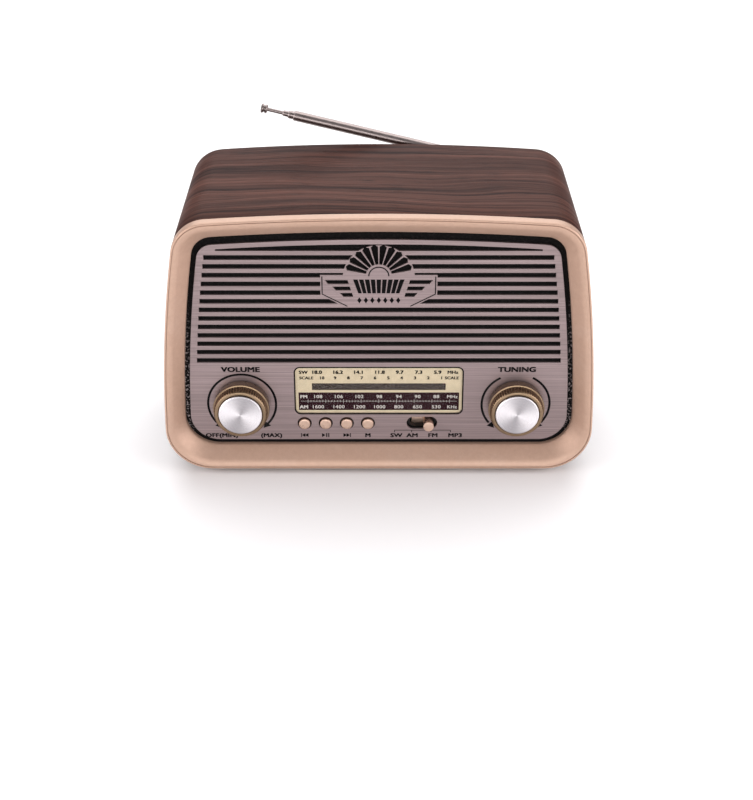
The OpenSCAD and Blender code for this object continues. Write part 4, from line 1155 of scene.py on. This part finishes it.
# %% Back panel and door
dress(from_frame("back_board", "rear_panel", bevel=0.0002), "rear_panel")
dress(from_frame("door_board", "battery_door", bevel=0.0003, segments=3), "battery_door")
print("back is dressed")

# %% [markdown]
# Several nodes hold more than one separate piece, such as the four feet. `pieces_of` finds
# each one by flooding from a vertex along the edges, and gives its box. A screw head then
# gets a real cross recess: a round ring is lofted to a plus-shaped one and sunk.

# %% Feet and screws
def pieces_of(node):
    """The box of each loose piece in a node, as (lowest, highest) corners."""
    bm = bmesh.new()
    bm.from_mesh(frame["nodes"][node].data)
    bmesh.ops.remove_doubles(bm, verts=bm.verts, dist=2e-6)
    boxes, seen = [], set()
    for start in bm.verts:
        if start in seen:
            continue
        group, queue = [], [start]
        seen.add(start)
        while queue:
            vert = queue.pop()
            group.append(vert.co.copy())
            for edge in vert.link_edges:
                other = edge.other_vert(vert)
                if other not in seen:
                    seen.add(other)
                    queue.append(other)
        boxes.append((Vector([min(c[i] for c in group) for i in range(3)]),
                      Vector([max(c[i] for c in group) for i in range(3)])))
    bm.free()
    return boxes


def make_feet():
    for number, (low, high) in enumerate(pieces_of("feet"), 1):
        r, tall = (high.x - low.x) / 2, high.z
        profile = [(0, 0.0006), (r * 0.45, 0.0006), (r * 0.5, 0), (r * 0.86, 0), (r * 0.95, 0.0003),
                   (r, 0.0009), (r * 0.985, tall), (0, tall)]
        middle = (low + high) / 2
        foot = lathe(f"foot_{number}", profile, (middle.x, middle.y, 0), steps=48, axis=(0, 0, 1))
        dress(foot, "feet")


def cross_ring(x, y, z, length, width, steps=64):
    """A plus-shaped loop with as many points as a round one."""
    points = []
    for i in range(steps):
        turn = 2 * math.pi * (i + 0.5) / steps
        c, s = sorted((abs(math.cos(turn)), abs(math.sin(turn))), reverse=True)
        r = min(length / c, width / s)
        points.append((x + r * math.cos(turn), y, z + r * math.sin(turn)))
    return points


def round_ring(x, y, z, r, steps=64):
    turns = [2 * math.pi * (i + 0.5) / steps for i in range(steps)]
    return [(x + r * math.cos(t), y, z + r * math.sin(t)) for t in turns]


def make_screw(name, node, low, high, head_r, head_t):
    """A screw along Y whose head faces the back, with a cross recess."""
    x, z = (low.x + high.x) / 2, (low.z + high.z) / 2
    shank = head_r * 0.45
    sections = ((low.y, shank * 0.7), (low.y + 0.0006, shank), (high.y - head_t, shank),
                (high.y - head_t * 0.98, head_r), (high.y - head_t * 0.3, head_r),
                (high.y - head_t * 0.08, head_r * 0.85), (high.y, head_r * 0.66))
    loops = [round_ring(x, y, z, r) for y, r in sections]
    loops.append(cross_ring(x, high.y - 0.00002, z, head_r * 0.52, head_r * 0.12))
    loops.append(cross_ring(x, high.y - head_t * 0.6, z, head_r * 0.4, head_r * 0.09))
    return dress(loft(name, loops, sharp=30), node)


make_feet()
for number, (low, high) in enumerate(pieces_of("rear_screws"), 1):
    make_screw(f"back_screw_{number}", "rear_screws", low, high, 2.8 * MM, 1.4 * MM)
print("feet:", len(pieces_of("feet")), "back screws:", len(pieces_of("rear_screws")))

# %% [markdown]
# Sockets are small mouldings with metal inside. The black bodies are merged copies of the
# frame's parts. The bright ring of the sound socket, the pin of the power socket, and the
# shell, tongue and contacts of the USB socket are pieces of their own.

# %% Sockets
def soft_block(name, low, high, ease):
    """A block with rounded edges between two corners."""
    bm = bmesh.new()
    size = Vector(high) - Vector(low)
    centre = (Vector(high) + Vector(low)) / 2
    bmesh.ops.create_cube(bm, size=1, matrix=Matrix.Translation(centre) @ Matrix.Diagonal((*size, 1)))
    bmesh.ops.bevel(bm, geom=bm.edges[:], offset=ease, segments=3, profile=0.5, affect="EDGES",
                    clamp_overlap=True, material=-1)
    return to_piece(name, bm)


def make_sockets():
    sound, power, usb = middle_of("aux_jack"), middle_of("dc_jack"), middle_of("usb_port")
    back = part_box("aux_jack")[1].y
    for name, node in (("sound_body", "aux_jack"), ("power_body", "dc_jack"), ("card_body", "card_slot")):
        dress(from_frame(name, node, bevel=0.00012), node, look="black_plastic")
    dress(from_frame("usb_body", "usb_port", bevel=0.0001), "usb_port", look="black_plastic")

    section = [(1.78, -6), (2.0, -6), (2.0, 0), (2.8, 0), (2.8, 0.2), (2.65, 0.32), (2.0, 0.32),
               (1.86, 0.22), (1.78, 0), (1.78, -6)]
    ring = [(r * MM, back + d * MM) for r, d in section]
    laid_on(lathe("sound_ring", ring, (sound.x, 0, sound.z), steps=64), "steel")
    pin = [(0, back - 1.3 * MM), (0.5 * MM, back - 1.3 * MM), (0.85 * MM, back - 1.45 * MM),
           (1.02 * MM, back - 1.9 * MM), (1.02 * MM, back - 8.0 * MM), (0, back - 8.0 * MM)]
    laid_on(lathe("power_pin", pin, (power.x, 0, power.z), steps=48), "steel")

    outer, inner = (6.3 * MM, 2.55 * MM), (6.05 * MM, 2.3 * MM)
    depths = ((outer, -9.0), (outer, -0.1), (inner, -0.1), (inner, -9.0))
    loops = [at_depth(round_rectangle(usb.x, usb.z, *half, 0.4 * MM), back + d * MM) for half, d in depths]
    laid_on(loft("usb_shell", loops, closed=True), "steel")
    tongue_low = (usb.x - 5.65 * MM, back - 9 * MM, usb.z + 0.18 * MM)
    tongue_high = (usb.x + 5.65 * MM, back - 1.2 * MM, usb.z + 2.03 * MM)
    laid_on(soft_block("usb_tongue", tongue_low, tongue_high, 0.12 * MM), "white_ink")
    for i in range(4):
        x = usb.x + (i - 1.5) * 2.3 * MM
        low = (x - 0.5 * MM, back - 8 * MM, usb.z + 0.08 * MM)
        high = (x + 0.5 * MM, back - 2.0 * MM, usb.z + 0.2 * MM)
        laid_on(soft_block(f"usb_contact_{i + 1}", low, high, 0.03 * MM), "copper_wire")


make_sockets()
print("sockets are made")

# %% [markdown]
# The back carries plain white function labels, with the usual signs for a centre-positive
# barrel plug and for a memory card. They are printed like the face's, and turned to face the
# back. Each label is placed from the middle of its own socket.

# %% Print on the back
def print_back():
    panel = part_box("rear_panel")[1].y + PROUD
    ink = Print("back_print", panel, back=True)
    sound, power = middle_of("aux_jack"), middle_of("dc_jack")
    usb, card, lamp = middle_of("usb_port"), middle_of("card_slot"), middle_of("charge_led")
    labels = (("AUX", sound, 0.7, 6.6, 2.3), ("DC 4.5V", power, 0.9, 9.8, 2.3), ("USB", usb, 1.0, 5.2, 2.3),
              ("TF", card, -1.1, 3.7, 2.2), ("CHARGE", lamp, 3.9, -5.1, 2.2))
    for text, spot, right, up, height in labels:
        ink.words(text, spot.x + right * MM, spot.z + up * MM, height * MM, spacing=1.18)
    plug_sign(ink, power.x + 0.9 * MM, power.z + 7.7 * MM)
    card_sign(ink, card.x + 3.9 * MM, card.z + 4.8 * MM)
    ink.done("white_ink")


def plug_sign(ink, x, z):
    """Plus and minus on either side of a dot in an open circle; plus is at the left, seen from behind."""
    thin = 0.16 * MM
    for x0, x1 in ((3.1, 4.9), (-5.0, -3.2), (0.4, 2.4), (-2.5, -0.9)):
        ink.bar(x + x0 * MM, x + x1 * MM, z - thin, z + thin)
    ink.bar(x + 4.0 * MM - thin, x + 4.0 * MM + thin, z - 0.9 * MM, z + 0.9 * MM)
    ink.curve(x + 0.2 * MM, z, 1.15 * MM, 115, 245, 0.32 * MM, steps=16)
    ink.curve(x + 0.2 * MM, z, 0.22 * MM, 0, 360, 0.44 * MM, steps=16)


def card_sign(ink, x, z):
    """The outline of a memory card with one cut corner."""
    w, h, thin = 1.0 * MM, 1.25 * MM, 0.28 * MM
    corners = [(-w, -h), (w, -h), (w, h * 0.45), (w * 0.5, h), (-w, h)]
    for (x0, z0), (x1, z1) in zip(corners, corners[1:] + corners[:1]):
        ink.line(x + x0, z + z0, x + x1, z + z1, thin)


print_back()
print("back is printed")

# %% [markdown]
# The antenna is a nest of drawn brass tubes with smoked chrome plating. Each tube is
# lathed about the antenna's own axis, which the frame's sliding joint gives, and its mouth
# is rolled in so that it grips the next one. The rod ends in a turned tip with a waist. The
# flat knuckle at its foot isn't round, so it is cut from the frame's first tube instead.

# %% Antenna
KNUCKLE_TOP = 6.2 * MM
MAST_START = 5.5 * MM
joints = {joint["name"]: joint for joint in frame["record"]["behaviour"]["joints"]}
mast_at = Vector(joints["antenna_tilt"]["pos_m"])
mast_way = Vector(joints["stage_2_pull"]["axis"]).normalized()
mast_side = mast_way.cross(Vector((0, 1, 0))).normalized()


def reach_of(node, last=0.001):
    """Where a node starts and ends along the antenna, and its radius near its far end."""
    places = [v.co - mast_at for v in frame["nodes"][node].data.vertices]
    along = [p.dot(mast_way) for p in places]
    end = max(along)
    r = max((p - mast_way * a).length for p, a in zip(places, along) if a > end - last)
    return min(along), end, r


def make_tube(name, node, start, bore):
    low, end, r = reach_of(node)
    low = max(low, start)
    profile = [(bore, low), (r, low), (r, end - 0.0009), (r - 0.00004, end - 0.0006),
               (r - 0.00018, end - 0.00025), (r - 0.00036, end - 0.00006), (bore + 0.0001, end),
               (bore, end - 0.0001), (bore, low)]
    tube = lathe(name, profile, mast_at, steps=64, axis=mast_way, side=mast_side)
    return dress(tube, node, look="dark_chrome")


def make_antenna():
    knuckle = from_frame("mast_knuckle", "antenna_tube_1", bevel=0.0002)
    bm = bmesh.new()
    bm.from_mesh(knuckle.data)
    bmesh.ops.bisect_plane(bm, geom=bm.verts[:] + bm.edges[:] + bm.faces[:], dist=1e-6,
                           plane_co=mast_at + mast_way * KNUCKLE_TOP, plane_no=mast_way, clear_outer=True)
    bm.to_mesh(knuckle.data)
    bm.free()
    dress(knuckle, "antenna_tube_1", look="dark_chrome")
    make_tube("mast_tube", "antenna_tube_1", MAST_START, 0.00212)
    make_tube("second_tube", "antenna_tube_2", 0, 0.00158)
    make_tube("third_tube", "antenna_tube_3", 0, 0.00102)

    low, end, r = reach_of("antenna_rod")
    tip = end - 0.0035
    profile = [(0, low), (0.00095, low), (0.00095, tip), (0.0016, tip), (0.0021, tip + 0.0003),
               (0.0023, tip + 0.0007), (0.0023, tip + 0.0012), (0.0017, tip + 0.0015),
               (0.0017, tip + 0.0019), (0.0023, tip + 0.0022), (r, tip + 0.0026), (r, tip + 0.0030),
               (0.0019, tip + 0.0034), (0.0009, end), (0, end)]
    dress(lathe("antenna_tip_rod", profile, mast_at, steps=48, axis=mast_way, side=mast_side), "antenna_rod",
          look="dark_chrome")
    dress(from_frame("swivel_fork", "antenna_swivel", bevel=0.0002), "antenna_swivel")
    dress(from_frame("swivel_bush", "antenna_bush", bevel=0.0003), "antenna_bush")


make_antenna()
print("antenna runs", round(reach_of("antenna_rod")[1] / MM, 1), "mm from its pivot")
